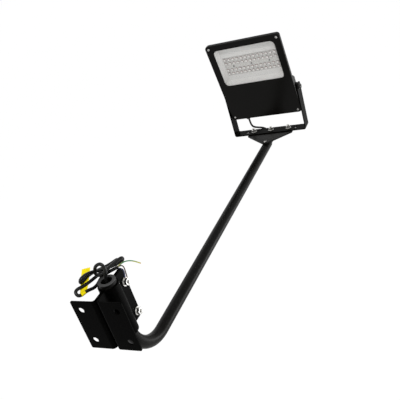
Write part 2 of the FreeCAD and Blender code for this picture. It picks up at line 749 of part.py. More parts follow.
def lock_screw():
    """Screw through the fishtail, the arm tube and the spigot's upper wall."""
    seat = ("0", ARM_END + " - lock_screw_back", FISHTAIL_TOP)
    length = "(fishtail_sheet + fit_gap + tube_wall + spigot_wall)"
    head = cylinder(seat, AXIS_UP, "lock_screw_head", "lock_screw_head_depth")
    shank = cylinder(moved(seat, "z", "0 - " + length), AXIS_UP, "lock_screw", length)
    screw = fused(head, shank)
    screw.Label = "bracket_screw"
    nodes["bracket_screw"] = screw


clamp_fasteners()
yoke_fasteners()
lock_screw()


# Lamp head. Its pieces are drawn about the tilt axis, then leant back and lifted together.

RIM_FRONT = "(frame_depth + gasket_sheet)"
CHAMBER_FLOOR = "(optic_depth - housing_wall)"
BOARD_FRONT = "(optic_depth - housing_wall - board_sheet)"
LENS_BACK = "(optic_depth - housing_wall - board_sheet - chip_rise - fit_gap)"
HEAD_TOP = "(face_middle + head_height / 2)"
WINDOW_WIDTH = "(head_width - window_side * 2)"
WINDOW_UP = "(%s - window_top - window_height / 2)" % HEAD_TOP
LENS_UP = "(%s - lens_drop)" % WINDOW_UP
LENS_WIDTH = "(%s - lens_side * 2)" % WINDOW_WIDTH
LENS_PITCH = "((%s - lens_margin * 2) / %d)" % (LENS_WIDTH, LENS_COUNT - 1)
FIRST_LENS = "(lens_margin - %s / 2)" % LENS_WIDTH
OPTIC_HALF = "(head_width / 2 - optic_side)"
OPTIC_TOP = "(%s - optic_above)" % HEAD_TOP
OPTIC_BASE = "(%s - window_height / 2 - optic_below)" % WINDOW_UP
DRIVER_HALF = "(head_width / 2 - driver_side)"
DRIVER_TOP = "(%s + chamber_lap)" % OPTIC_BASE
DRIVER_FOOT = "(face_middle - head_height / 2 + driver_below)"
BOSS_ROOT = "(%s - boss_lap)" % DRIVER_HALF
BOSS_END = "(%s - boss_gap)" % YOKE_INSIDE
FIRST_FIN = "(fin_side - %s)" % OPTIC_HALF
GLAND_ACROSS = "(gland_side - head_width / 2)"
GLAND_FOOT = "(%s - gland_seat)" % DRIVER_FOOT


def on_head(piece):
    """Leans a piece back with the head and lifts it to the tilt axis."""
    piece.Placement.Rotation = FreeCAD.Rotation(X_WAY, number_of("head_tilt"))
    link(piece, "Placement.Base.y", "yoke_reach")
    link(piece, "Placement.Base.z", "tilt_height")
    link(piece, "Placement.Rotation.Angle", "head_tilt")
    doc.recompute()


def face_sketch(body, depth):
    """A sketch at a depth behind the face; a pad goes deeper when it is turned back."""
    return new_sketch(body, "XZ_Plane", "face_depth - (%s)" % depth)


def draw_face_box(drawing, width, height, up, radius=None):
    """A rectangle centred on the middle plane at a height above the tilt axis."""
    sides = ("0 - (%s) / 2" % width, "(%s) / 2" % width,
             "%s - (%s) / 2" % (up, height), "%s + (%s) / 2" % (up, height))
    if radius:
        draw_round_box(drawing, *sides, radius)
    else:
        draw_box(drawing, *sides)


def draw_corner_holes(drawing, radius):
    for side in (1, -1):
        for up in (1, -1):
            draw_circle(drawing, "(head_width / 2 - screw_inset) * %d" % side,
                        "face_middle + (head_height / 2 - screw_inset) * %d" % up, radius)


def front_frame():
    """Flat cast frame with the window opening and a rebate for the glass."""
    body = new_body("front_frame")
    plate = face_sketch(body, "0")
    draw_face_box(plate, "head_width", "head_height", "face_middle", "head_corner")
    pad(body, plate, "frame_depth", back=True)
    opening = face_sketch(body, "0")
    draw_face_box(opening, WINDOW_WIDTH, "window_height", WINDOW_UP, "window_corner")
    pocket(body, opening)
    rebate = face_sketch(body, "glass_lip")
    draw_face_box(rebate, WINDOW_WIDTH + " + glass_margin * 2",
                  "window_height + glass_margin * 2", WINDOW_UP)
    pocket(body, rebate, "frame_depth - glass_lip")
    holes = face_sketch(body, "0")
    draw_corner_holes(holes, "screw_shank + fit_gap")
    pocket(body, holes)
    face = -number_of("face_depth")
    half = number_of("head_width / 2 - head_corner")
    tall = number_of("head_height / 2 - head_corner")
    middle = number_of("face_middle")

    def on_the_outer_rim(edge):
        box = edge.BoundBox
        centre = edge.CenterOfMass
        flat = near(box.YMin, face) and near(box.YMax, face)
        return flat and (abs(centre.x) > half or abs(centre.z - middle) > tall)
    round_edges(body, "frame_edge", on_the_outer_rim)
    on_head(body)


def front_glass():
    body = new_body("front_glass")
    pane = face_sketch(body, "glass_lip")
    draw_face_box(pane, WINDOW_WIDTH + " + (glass_margin - glass_play) * 2",
                  "window_height + (glass_margin - glass_play) * 2", WINDOW_UP)
    pad(body, pane, "glass_sheet", back=True)
    on_head(body)


def cover_gasket():
    """Flat seal between the front frame and the housing."""
    body = new_body("cover_gasket")
    band = face_sketch(body, "frame_depth")
    draw_face_box(band, "head_width - gasket_inset * 2", "head_height - gasket_inset * 2",
                  "face_middle", "head_corner - gasket_inset")
    draw_face_box(band, "head_width - (gasket_inset + gasket_band) * 2",
                  "head_height - (gasket_inset + gasket_band) * 2", "face_middle",
                  "head_corner - gasket_inset")
    pad(body, band, "gasket_sheet", back=True)
    holes = face_sketch(body, "frame_depth")
    draw_corner_holes(holes, "screw_shank + fit_gap")
    pocket(body, holes)
    on_head(body)


def draw_sloped_side(drawing, inset, slope):
    """The driver chamber from the side, with its top back edge cut off."""
    front = RIM_FRONT + " - face_depth"
    back = "driver_depth - face_depth - " + inset
    foot = DRIVER_FOOT + " + " + inset
    top = DRIVER_TOP + " - " + inset
    draw_outline(drawing, [
        (front, foot), (back, foot), (back, "%s - %s" % (top, slope)),
        ("%s - %s" % (back, slope), top), (front, top),
    ])


def housing():
    """Cast body: rim, lamp chamber with fins, driver chamber, side bosses, gland seat."""
    body = new_body("housing")
    rim = face_sketch(body, RIM_FRONT)
    draw_face_box(rim, "head_width - rim_inset * 2", "head_height - rim_inset * 2",
                  "face_middle", "head_corner - rim_inset")
    pad(body, rim, "housing_rim", back=True)
    optic = face_sketch(body, RIM_FRONT)
    draw_box(optic, "0 - " + OPTIC_HALF, OPTIC_HALF, OPTIC_BASE, OPTIC_TOP)
    pad(body, optic, "optic_depth - %s" % RIM_FRONT, back=True, taper="optic_draft")
    driver = new_sketch(body, "YZ_Plane")
    draw_sloped_side(driver, "0", "driver_slope")
    pad(body, driver, DRIVER_HALF + " * 2", both=True)
    seat = new_sketch(body, "XY_Plane", GLAND_FOOT)
    draw_circle(seat, GLAND_ACROSS, "gland_depth - face_depth", "gland_seat_radius")
    pad(body, seat, "gland_seat + housing_wall")
    chamber = face_sketch(body, RIM_FRONT)
    draw_box(chamber, "housing_wall - " + OPTIC_HALF, OPTIC_HALF + " - housing_wall",
             OPTIC_BASE + " + housing_wall", OPTIC_TOP + " - housing_wall")
    pocket(body, chamber, "%s - %s" % (CHAMBER_FLOOR, RIM_FRONT), taper="optic_draft")
    box_room = new_sketch(body, "YZ_Plane")
    draw_sloped_side(box_room, "housing_wall", "(driver_slope - housing_wall * (2 - sqrt(2)))")
    pocket(body, box_room, "(%s - housing_wall) * 2" % DRIVER_HALF, both=True)
    wire_way = face_sketch(body, RIM_FRONT)
    draw_box(wire_way, "0 - wire_way_half", "wire_way_half",
             DRIVER_TOP + " - housing_wall * 2", OPTIC_BASE + " + housing_wall * 2")
    pocket(body, wire_way, "wire_way_depth")
    for side in (1, -1):
        boss = new_sketch(body, "YZ_Plane", "%s * %d" % (BOSS_ROOT, side))
        draw_circle(boss, "0", "0", "boss_radius")
        pad(body, boss, "%s - %s" % (BOSS_END, BOSS_ROOT), back=side < 0)
        bore = new_sketch(body, "YZ_Plane", "%s * %d" % (BOSS_END, side))
        draw_circle(bore, "0", "0", "bolt_shank + pivot_hole_play")
        pocket(body, bore, "pivot_hole_depth", back=side < 0)
    gland_hole = new_sketch(body, "XY_Plane", DRIVER_FOOT + " + housing_wall")
    draw_circle(gland_hole, GLAND_ACROSS, "gland_depth - face_depth",
                "gland_thread + fit_gap")
    pocket(body, gland_hole, "housing_wall + gland_seat")
    corner_holes = face_sketch(body, RIM_FRONT)
    draw_corner_holes(corner_holes, "screw_shank + fit_gap")
    pocket(body, corner_holes, "housing_rim")
    lens_holes = face_sketch(body, CHAMBER_FLOOR)
    for step in (-1, 0, 1):
        draw_circle(lens_holes, "lens_screw_pitch * %d" % step, LENS_UP,
                    "lens_screw + fit_gap")
    pocket(body, lens_holes, "lens_screw_hole")
    fin = face_sketch(body, "optic_depth")
    draw_box(fin, FIRST_FIN + " - fin_sheet / 2", FIRST_FIN + " + fin_sheet / 2",
             DRIVER_TOP + " - fin_below", OPTIC_TOP + " - fin_above")
    fin_pad = pad(body, fin, "fin_depth", back=True)
    row_of(body, fin_pad, "X_Axis", "(0 - %s) * 2 / %d" % (FIRST_FIN, FIN_COUNT - 1),
           FIN_COUNT)
    on_head(body)


def reflector_tray():
    """Sheet tray that leans in from the glass to the lamp board, open round the lenses."""
    back = "(%s - fit_gap)" % BOARD_FRONT

    def funnel(inset, front, rear, lean_front, lean_rear):
        """A block that narrows to the back; a wedge's own Y runs from front to rear."""
        width = "(" + WINDOW_WIDTH + " / 2 + tray_side - %s - %s)"
        height = "(window_height / 2 + tray_end - %s - %s)"
        solid = doc.addObject("Part::Wedge", "Funnel")
        ends = (("", lean_front), ("2", lean_rear))
        for end, lean in ends:
            link(solid, "X%smin" % end, "0 - " + width % (inset, lean))
            link(solid, "X%smax" % end, width % (inset, lean))
            link(solid, "Z%smin" % end, "%s - %s" % (WINDOW_UP, height % (inset, lean)))
            link(solid, "Z%smax" % end, "%s + %s" % (WINDOW_UP, height % (inset, lean)))
        link(solid, "Ymin", "%s - face_depth" % front)
        link(solid, "Ymax", "%s - face_depth" % rear)
        return solid

    outer = funnel("0", "tray_front", back, "0", "tray_lean")
    inner = funnel("tray_sheet", "tray_front", "(%s - tray_sheet)" % back, "0", "tray_lean")
    hole = doc.addObject("Part::Box", "Opening")
    link(hole, "Length", LENS_WIDTH + " + tray_sheet * 2")
    link(hole, "Height", "lens_height + tray_sheet * 2")
    link(hole, "Width", "tray_sheet * 4")
    link(hole, "Placement.Base.x", "0 - %s / 2 - tray_sheet" % LENS_WIDTH)
    link(hole, "Placement.Base.y", "%s - face_depth - tray_sheet * 2" % back)
    link(hole, "Placement.Base.z", "%s - lens_height / 2 - tray_sheet" % LENS_UP)
    tray = cut(outer, fused(inner, hole))
    tray.Label = "reflector_tray"
    nodes["reflector_tray"] = tray
    on_head(tray)


def led_board():
    """Lamp board with one light emitter behind each lens."""
    body = new_body("led_board")
    board = face_sketch(body, BOARD_FRONT)
    draw_face_box(board, LENS_WIDTH + " + board_margin", "lens_height + board_margin * 2",
                  LENS_UP)
    pad(body, board, "board_sheet", back=True)
    screws = face_sketch(body, BOARD_FRONT)
    for step in (-1, 0, 1):
        draw_circle(screws, "lens_screw_pitch * %d" % step, LENS_UP, "lens_screw + fit_gap")
    pocket(body, screws)
    chips = face_sketch(body, "%s - chip_rise" % BOARD_FRONT)
    for row in LENS_ROWS:
        draw_box(chips, FIRST_LENS + " - chip_size / 2", FIRST_LENS + " + chip_size / 2",
                 "%s + %s - chip_size / 2" % (LENS_UP, row),
                 "%s + %s + chip_size / 2" % (LENS_UP, row))
    chip_pad = pad(body, chips, "chip_rise", back=True)
    row_of(body, chip_pad, "X_Axis", LENS_PITCH, LENS_COUNT)
    on_head(body)


def lens_plate():
    """Clear plate with rows of lenses, standing on its own edge round the light emitters."""
    body = new_body("lens_plate")
    plate = face_sketch(body, "%s - lens_sheet" % LENS_BACK)
    draw_face_box(plate, LENS_WIDTH, "lens_height", LENS_UP, "lens_sheet")
    pad(body, plate, "lens_sheet + chip_rise + fit_gap", back=True)
    room = face_sketch(body, LENS_BACK)
    draw_face_box(room, LENS_WIDTH + " - lens_sheet * 2", "lens_height - lens_sheet * 2",
                  LENS_UP)
    pocket(body, room, "chip_rise + fit_gap")
    screws = face_sketch(body, LENS_BACK)
    for step in (-1, 0, 1):
        draw_circle(screws, "lens_screw_pitch * %d" % step, LENS_UP, "lens_screw + fit_gap")
    pocket(body, screws)
    domes = face_sketch(body, "%s - lens_sheet" % LENS_BACK)
    for row in LENS_ROWS:
        draw_round_box(domes, FIRST_LENS + " - lens_long / 2", FIRST_LENS + " + lens_long / 2",
                       "%s + %s - lens_tall / 2" % (LENS_UP, row),
                       "%s + %s + lens_tall / 2" % (LENS_UP, row), "lens_round")
    dome_pad = pad(body, domes, "lens_rise", taper="lens_taper")
    row_of(body, dome_pad, "X_Axis", LENS_PITCH, LENS_COUNT)
    on_head(body)


def head_screws():
    """Screws of the front frame and of the lens plate."""
    corner = []
    for side in (1, -1):
        for up in (1, -1):
            seat = ("(head_width / 2 - screw_inset) * %d" % side, "0 - face_depth",
                    "face_middle + (head_height / 2 - screw_inset) * %d" % up)
            head = cylinder(moved(seat, "y", "0 - screw_head_depth"), AXIS_BACK,
                            "screw_head", "screw_head_depth")
            corner.append(fused(head, cylinder(seat, AXIS_BACK, "screw_shank", "screw_length")))
    on_head(grouped("cover_screws", corner))
    inner = []
    for step in (-1, 0, 1):
        seat = ("lens_screw_pitch * %d" % step,
                "%s - lens_sheet - face_depth" % LENS_BACK, LENS_UP)
        head = cylinder(moved(seat, "y", "0 - lens_screw_head_depth"), AXIS_BACK,
                        "lens_screw_head", "lens_screw_head_depth")
        shank = "lens_sheet + chip_rise + fit_gap + board_sheet + lens_screw_in"
        inner.append(fused(head, cylinder(seat, AXIS_BACK, "lens_screw", shank)))
    on_head(grouped("lens_screws", inner))


def led_driver():
    """Power supply on the floor of the driver chamber."""
    body = new_body("led_driver")
    box = face_sketch(body, "driver_depth - housing_wall - driver_box_depth")
    draw_round_box(box, "driver_box_side - " + DRIVER_HALF, DRIVER_HALF + " - driver_box_side",
                   DRIVER_FOOT + " + driver_box_foot", DRIVER_TOP + " - driver_box_top",
                   "housing_wall")
    pad(body, box, "driver_box_depth", back=True)
    on_head(body)


def cable_gland():
    """Gland under the driver chamber and its nut inside."""
    middle = (GLAND_ACROSS, "gland_depth - face_depth")
    foot = middle + ("%s - gland_foot" % GLAND_FOOT,)
    hexagonal = hexagon(foot, AXIS_UP, "gland_hex", "gland_foot")
    dome_foot = moved(foot, "z", "0 - gland_dome")
    dome = cylinder(dome_foot, AXIS_UP, "gland_tip", "gland_dome")
    collar = cylinder(moved(foot, "z", "0 - gland_collar"), AXIS_UP, "gland_dome_radius",
                      "gland_collar")
    thread_length = "housing_wall + gland_seat + gland_thread_end"
    thread = cylinder(middle + (GLAND_FOOT,), AXIS_UP, "gland_thread", thread_length)
    bore = cylinder(dome_foot, AXIS_UP, "cable_radius + fit_gap",
                    "gland_dome + gland_foot + " + thread_length)
    gland = cut(fused(hexagonal, dome, collar, thread), bore)
    gland.Label = "cable_gland"
    nodes["cable_gland"] = gland
    on_head(gland)
    inside = middle + (DRIVER_FOOT + " + housing_wall",)
    nut = cut(hexagon(inside, AXIS_UP, "gland_hex", "gland_nut"),
              cylinder(inside, AXIS_UP, "gland_thread", "gland_nut"))
    nut.Label = "gland_nut"
    nodes["gland_nut"] = nut
    on_head(nut)


def pivot_fasteners():
    """A bolt on each side through the yoke into the boss, with its washers."""
    bolts, washers, friction = [], [], []
    sides = ((1, AXIS_LEFT), (-1, AXIS_RIGHT))
    for side, axis in sides:
        outer_face = ("(%s + yoke_sheet + fit_gap) * %d" % (YOKE_INSIDE, side), "0", "0")
        seat = moved(outer_face, "x", "washer_depth * %d" % side)
        reach = "washer_depth + yoke_sheet + fit_gap + boss_gap + pivot_reach"
        bolts.append(hex_bolt(seat, axis, "x", -side, reach))
        washers.append(ring(seat, axis, "washer_outer", "bolt_shank", "washer_depth"))
        inner_face = ("(%s - fit_gap) * %d" % (YOKE_INSIDE, side), "0", "0")
        friction.append(ring(inner_face, axis, "friction_outer", "bolt_shank",
                             "boss_gap - fit_gap"))
    on_head(grouped("pivot_bolts", bolts))
    on_head(grouped("pivot_washers", washers))
    on_head(grouped("friction_washers", friction))


housing()
front_frame()
front_glass()
cover_gasket()
reflector_tray()
led_board()
lens_plate()
head_screws()
led_driver()
cable_gland()
pivot_fasteners()


# Cables. A route is a list of points chosen by hand; the tube runs straight between
# tangent arcs at the points.

def tube_along(route, radius):
    """A round tube along a route, and a note of its tightest bend and its length."""
    points = [FreeCAD.Vector(*point) for point in route]
    runs = [after - before for before, after in zip(points, points[1:])]
    edges = []
    tightest = []
    start = points[0]
    for corner, before, after in zip(points[1:], runs, runs[1:]):
        half_turn = before.getAngle(after) / 2
        cut_back = BEND_SHARE * min(before.Length, after.Length)
        entry = corner - before * (cut_back / before.Length)
        leave = corner + after * (cut_back / after.Length)
        bend = cut_back / math.tan(half_turn)
        way = (after / after.Length - before / before.Length).normalize()
        middle = corner + way * (bend / math.cos(half_turn)) - way * bend
        edges.append(Part.LineSegment(start, entry).toShape())
        edges.append(Part.Arc(entry, middle, leave).toShape())
        tightest.append(bend)
        start = leave
    edges.append(Part.LineSegment(start, points[-1]).toShape())
    spine = Part.Wire(edges)
    section = Part.Wire([Part.makeCircle(radius, points[0], points[1] - points[0])])
    tube = spine.makePipeShell([section], True, False)
    expected = math.pi * radius ** 2 * spine.Length
    print("  route of %.0f mm, bends %.1f to %.1f mm, volume over section times length %.4f"
          % (spine.Length, min(tightest), max(tightest), tube.Volume / expected))
    return tube


def cable(label, route, radius):
    """A node for one cable."""
    feature = doc.addObject("Part::Feature", label)
    feature.Label = label
    feature.Shape = tube_along(route, number_of(radius))
    nodes[label] = feature
    return feature


# From the bore of the arm: one small loop, then laid to and fro into a hank.
HANK_ROUTE = [
    (0, 48.5, 60), (0, 48.5, 71), (8, 50, 86), (3, 50.5, 100), (-10.5, 50, 95),
    (-18, 51, 84), (-19.5, 50.5, 73), (-11.5, 56, 69), (-7, 70, 72), (2.5, 86.5, 75),
    (11, 99, 77), (6, 104, 65), (-3.5, 87.5, 67), (-16.5, 69.5, 71), (-27.5, 52.5, 79),
    (-29.5, 38.5, 84.5), (-33, 25, 84.5), (-40, 28, 72), (-35.5, 42, 74.5), (-33, 58.5, 73),
    (-22, 77.5, 68.5), (-12.5, 91, 68), (-3.5, 102.5, 70), (-12.5, 108.5, 60.5),
    (-19.5, 92, 61.5), (-27, 73.5, 62), (-27, 55, 65), (-34, 31, 66.5), (-44, 11.5, 70),
    (-37, 7.5, 58.8), (-30, 24, 59.5), (-25, 44.5, 51), (-21, 64, 60), (-11, 78, 60.6),
    (4, 85.5, 64),
]
LEAD_JOIN = (-47, 1066, -113)


# The cable the arm holds: through the spigot and the tube, round the bend, up the bore.
ARM_LEAD_ROUTE = [
    LEAD_JOIN, (-34.25, 1068.625, -116), (-22, 1073, -129), (-9, 1064, -137.5),
    (0, 1046, -136.5), (1.5, 1012, -137.5), (-1.5, 952, -136), (3, 868, -138),
    (-2, 780, -139), (-3, 692, -135), (2, 604, -138), (3, 518, -135.5), (-2.5, 430, -139),
    (1, 344, -136), (3, 262, -138), (-1, 186, -137), (0.5, 114.5, -136.5),
    (-0.5, 72.5, -112.5), (0.5, 48.5, -71), (2, 50, -22), (0, 48.5, 26), HANK_ROUTE[0],
]


def head_lead():
    """The slack between the gland and the arm, which bends when the lamp is tilted."""
    lean = FreeCAD.Placement(
        FreeCAD.Vector(0, number_of("yoke_reach"), number_of("tilt_height")),
        FreeCAD.Rotation(X_WAY, number_of("head_tilt")))
    depth = number_of("gland_depth - face_depth")
    across = number_of(GLAND_ACROSS)
    inside = lean.multVec(FreeCAD.Vector(across, depth, number_of(DRIVER_FOOT + " + lead_start")))
    gland_end = number_of(GLAND_FOOT + " - gland_foot - gland_dome")
    below = lean.multVec(FreeCAD.Vector(across, depth, gland_end - number_of("lead_drop")))
    return [tuple(inside), tuple(below), (-71, 1061, -98), (-64, 1062.5, -109), LEAD_JOIN]


print("arm lead")
cable("arm_lead", ARM_LEAD_ROUTE, "cable_radius")
print("head lead")
cable("head_lead", head_lead(), "cable_radius")
print("cable hank")
cable("cable_hank", HANK_ROUTE, "cable_radius")

# Bare end: three cores fan out of the sheath, side by side on its end face.
CORE_STARTS = {
    "core_earth": (3.5, 86.8, 64.5),
    "core_live": (4.6, 84.8, 65.3),
    "core_neutral": (4.2, 85, 62.6),
}
CORE_ROUTES = {
    "core_earth": [(8, 91, 67), (17, 96, 70), (33, 97, 70), (50, 93, 67)],
    "core_live": [(12, 86, 68), (22, 80, 70), (30, 70, 66), (35, 62, 60)],
    "core_neutral": [(11, 84, 62), (20, 78, 64), (27, 69, 62), (31, 61, 59.5)],
}
for label, route in CORE_ROUTES.items():
    print(label)
    cable(label, [CORE_STARTS[label]] + route, "core_radius")


# Save

def check(label, thing):
    if "Invalid" in thing.State or "Error" in thing.State:
        raise RuntimeError("%s: %s" % (label, thing.State))
    if thing.Shape.isNull() or not thing.Shape.isValid():
        raise RuntimeError("%s: bad shape" % label)


doc.recompute()
for label, thing in nodes.items():
    check(label, thing)
os.makedirs("parts", exist_ok=True)
for label, thing in nodes.items():
    thing.Shape.exportStep("parts/%s.step" % label)
    print("%-18s %9.0f mm3  %d solids" % (label, thing.Shape.Volume, len(thing.Shape.Solids)))
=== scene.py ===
import math

import bmesh
import bpy
from bpy.props import FloatProperty, FloatVectorProperty, IntProperty, PointerProperty
from mathutils import Matrix, Vector


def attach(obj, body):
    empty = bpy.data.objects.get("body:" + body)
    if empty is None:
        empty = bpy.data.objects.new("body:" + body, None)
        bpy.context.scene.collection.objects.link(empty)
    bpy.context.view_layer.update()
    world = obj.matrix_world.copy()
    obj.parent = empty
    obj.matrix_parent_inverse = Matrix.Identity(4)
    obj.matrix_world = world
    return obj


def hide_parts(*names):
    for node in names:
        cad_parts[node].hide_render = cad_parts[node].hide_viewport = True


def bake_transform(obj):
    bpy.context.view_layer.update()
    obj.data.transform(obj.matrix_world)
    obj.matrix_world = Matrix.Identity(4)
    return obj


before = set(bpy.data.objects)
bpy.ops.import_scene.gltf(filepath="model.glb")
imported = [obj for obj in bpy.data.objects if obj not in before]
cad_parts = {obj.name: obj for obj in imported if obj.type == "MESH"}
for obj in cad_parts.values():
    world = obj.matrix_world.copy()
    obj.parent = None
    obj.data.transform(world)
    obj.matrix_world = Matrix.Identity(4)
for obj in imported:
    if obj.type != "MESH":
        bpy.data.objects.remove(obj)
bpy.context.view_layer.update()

bl_info = {
    "name": "Sign Floodlight",
    "version": (1, 0, 0),
    "blender": (4, 5, 0),
    "location": "View3D > Sidebar > Floodlight",
    "description": "Dresses a wall-arm floodlight: powder coat, zinc fasteners, optics and cable",
    "category": "Object",
}

MM = 0.001
FULL_TURN = 2 * math.pi

# Where the solids have their pieces
CLAMP_REACH = 87 * MM          # wall to the clamp bolts
CLAMP_FACE = 4 * MM            # middle plane to the outer face of a flange
CLAMP_LEVELS = (29 * MM, -41 * MM)
SLEEVE_REACH = 48.5 * MM       # wall to the axis of the sleeve
ARM_LEVEL = -136.75 * MM       # height of the long leg's axis
YOKE_REACH = 1041 * MM
CROSSBAR_FOOT = -123.25 * MM   # underside of the fishtail plate
CROSSBAR_TOP = -116.2 * MM     # upper side of the yoke's crossbar
FACE_PLANE = -28.2 * MM        # tilt axis to the lamp's face
LENS_SEAT = -2.85 * MM         # tilt axis to the face of the lens sheet
LENS_RISE = 3.0 * MM           # height of one lens
OPTICS_UP = 109.6 * MM         # tilt axis up to the middle of the lenses

# Trade sizes of the fasteners
WASHER_OUTER, WASHER_HOLE, WASHER_DEPTH = 8.5 * MM, 4.05 * MM, 1.6 * MM
HEAD_DEPTH, NUT_DEPTH, THREAD_PITCH = 5.3 * MM, 6.5 * MM, 1.25 * MM

# A finish and the name of the slot that it belongs to
ZINC = ("bright_zinc", "zinc")
DARK_ZINC = ("dark_zinc", "zinc_dark")
STEEL = ("stainless", "zinc_dark")

SOFT_ANGLE = math.radians(32)   # edges that are flatter than this are shaded smooth
ROUND_ANGLE = math.radians(60)  # the same on tubes, whose end caps stay sharp


# What a user would change

class FloodlightSizes(bpy.types.PropertyGroup):
    edge_round: FloatProperty(
        name="Edge Round", description="Radius that the coating leaves on sheet edges",
        default=0.45 * MM, min=0, unit="LENGTH", precision=5)
    cast_round: FloatProperty(
        name="Cast Edge Round", description="Radius on the edges of the cast housing",
        default=0.9 * MM, min=0, unit="LENGTH", precision=5)
    tilt_axis: FloatVectorProperty(
        name="Tilt Axis", description="Middle of the axis that the lamp tilts about",
        default=(0, YOKE_REACH, 17.5 * MM), subtype="TRANSLATION", unit="LENGTH",
        precision=5)
    head_lean: FloatProperty(
        name="Head Lean", description="Angle that the lamp leans at rest",
        default=math.radians(13.9), subtype="ANGLE")
    cable_diameter: FloatProperty(
        name="Cable Diameter", description="Diameter of the sheathed cable",
        default=6.2 * MM, unit="LENGTH", precision=5)
    core_diameter: FloatProperty(
        name="Core Diameter", description="Diameter of one insulated core",
        default=2.2 * MM, unit="LENGTH", precision=5)
    bolt_flats: FloatProperty(
        name="Bolt Flats", description="Width across the flats of the hexagon heads and nuts",
        default=13 * MM, unit="LENGTH", precision=5)
    bolt_diameter: FloatProperty(
        name="Bolt Diameter", description="Thread diameter of the hexagon bolts",
        default=8 * MM, unit="LENGTH", precision=5)
    lens_columns: IntProperty(
        name="Lens Columns", description="Lenses in one row", default=13, min=1)
    lens_pitch: FloatProperty(
        name="Lens Pitch", description="Distance between the lenses of a row",
        default=13.4 * MM, unit="LENGTH", precision=5)


class FloodlightColours(bpy.types.PropertyGroup):
    powder: FloatVectorProperty(
        name="Powder Coat", description="Black powder coat on the steel parts",
        default=(0.0030, 0.0028, 0.0025), subtype="COLOR", size=3, min=0, max=1)
    cast: FloatVectorProperty(
        name="Cast Coat", description="Smoother black coat on the lamp's castings",
        default=(0.0032, 0.0030, 0.0026), subtype="COLOR", size=3, min=0, max=1)
    zinc: FloatVectorProperty(
        name="Zinc", description="Bright zinc on the fasteners",
        default=(0.66, 0.66, 0.64), subtype="COLOR", size=3, min=0, max=1)
    sheath: FloatVectorProperty(
        name="Sheath", description="Outer sheath of the cable",
        default=(0.0040, 0.0040, 0.0038), subtype="COLOR", size=3, min=0, max=1)
    label: FloatVectorProperty(
        name="Film", description="Yellow film on the cable",
        default=(0.95, 0.76, 0.001), subtype="COLOR", size=3, min=0, max=1)
    tray: FloatVectorProperty(
        name="Tray", description="Satin reflector tray behind the glass",
        default=(0.71, 0.70, 0.68), subtype="COLOR", size=3, min=0, max=1)
    phosphor: FloatVectorProperty(
        name="Phosphor", description="Light emitters behind the lenses",
        default=(0.85, 0.56, 0.40), subtype="COLOR", size=3, min=0, max=1)


def sizes():
    return bpy.context.scene.floodlight_sizes


def colours():
    return bpy.context.scene.floodlight_colours


def rgba(colour, gain=1.0):
    return tuple(min(1.0, channel * gain) for channel in colour) + (1.0,)


# Materials

class Signal:
    """One socket of a material, which takes part in ordinary expressions."""

    def __init__(self, finish, socket):
        self.finish = finish
        self.socket = socket

    def combined(self, operation, first, second):
        return self.finish.node("Math", {"operation": operation}, {0: first, 1: second})

    def __add__(self, other):
        return self.combined("ADD", self, other)

    def __radd__(self, other):
        return self.combined("ADD", other, self)

    def __sub__(self, other):
        return self.combined("SUBTRACT", self, other)

    def __rsub__(self, other):
        return self.combined("SUBTRACT", other, self)

    def __mul__(self, other):
        return self.combined("MULTIPLY", self, other)

    def __rmul__(self, other):
        return self.combined("MULTIPLY", other, self)

    def __truediv__(self, other):
        return self.combined("DIVIDE", self, other)

    def above(self, other):
        return self.combined("GREATER_THAN", self, other)


class Finish:
    """A material under construction, with one method that adds any node."""

    def __init__(self, name):
        self.material = bpy.data.materials.new(name)
        self.material.use_nodes = True
        self.tree = self.material.node_tree
        self.tree.nodes.clear()

    def node(self, kind, settings=None, inputs=None, out=0):
        new = self.tree.nodes.new("ShaderNode" + kind)
        for setting, value in (settings or {}).items():
            if setting == "stops":
                self.set_stops(new.color_ramp, value)
            else:
                setattr(new, setting, value)
        for place, value in (inputs or {}).items():
            if isinstance(value, Signal):
                self.tree.links.new(value.socket, new.inputs[place])
            else:
                new.inputs[place].default_value = value
        return Signal(self, new.outputs[out]) if len(new.outputs) else None

    @staticmethod
    def set_stops(ramp, stops):
        while len(ramp.elements) < len(stops):
            ramp.elements.new(1)
        for element, (place, colour) in zip(ramp.elements, stops):
            element.position = place
            element.color = colour

    def position(self):
        return self.node("TexCoord", out="Object")

    def along_cord(self):
        return self.node("UVMap", {"uv_map": "UVMap"})

    def noise(self, scale, detail=2.0, stretch=None, vector=None):
        """Noise on the piece's own coordinates, drawn out along an axis by a stretch."""
        vector = vector or self.position()
        if stretch:
            vector = self.node("Mapping", None, {"Vector": vector, "Scale": stretch})
        return self.node("TexNoise", {"noise_dimensions": "3D"},
                         {"Vector": vector, "Scale": scale, "Detail": detail})

    def mix(self, factor, first, second):
        """Mixes two colours."""
        return self.node("Mix", {"data_type": "RGBA"}, {0: factor, 6: first, 7: second}, out=2)

    def bump(self, height, strength, distance):
        return self.node("Bump", None,
                         {"Height": height, "Strength": strength, "Distance": distance})

    def principled(self, **inputs):
        named = {name.replace("_", " "): value for name, value in inputs.items()}
        surface = self.node("BsdfPrincipled", None, named)
        self.node("OutputMaterial", None, {"Surface": surface})
        return self.material


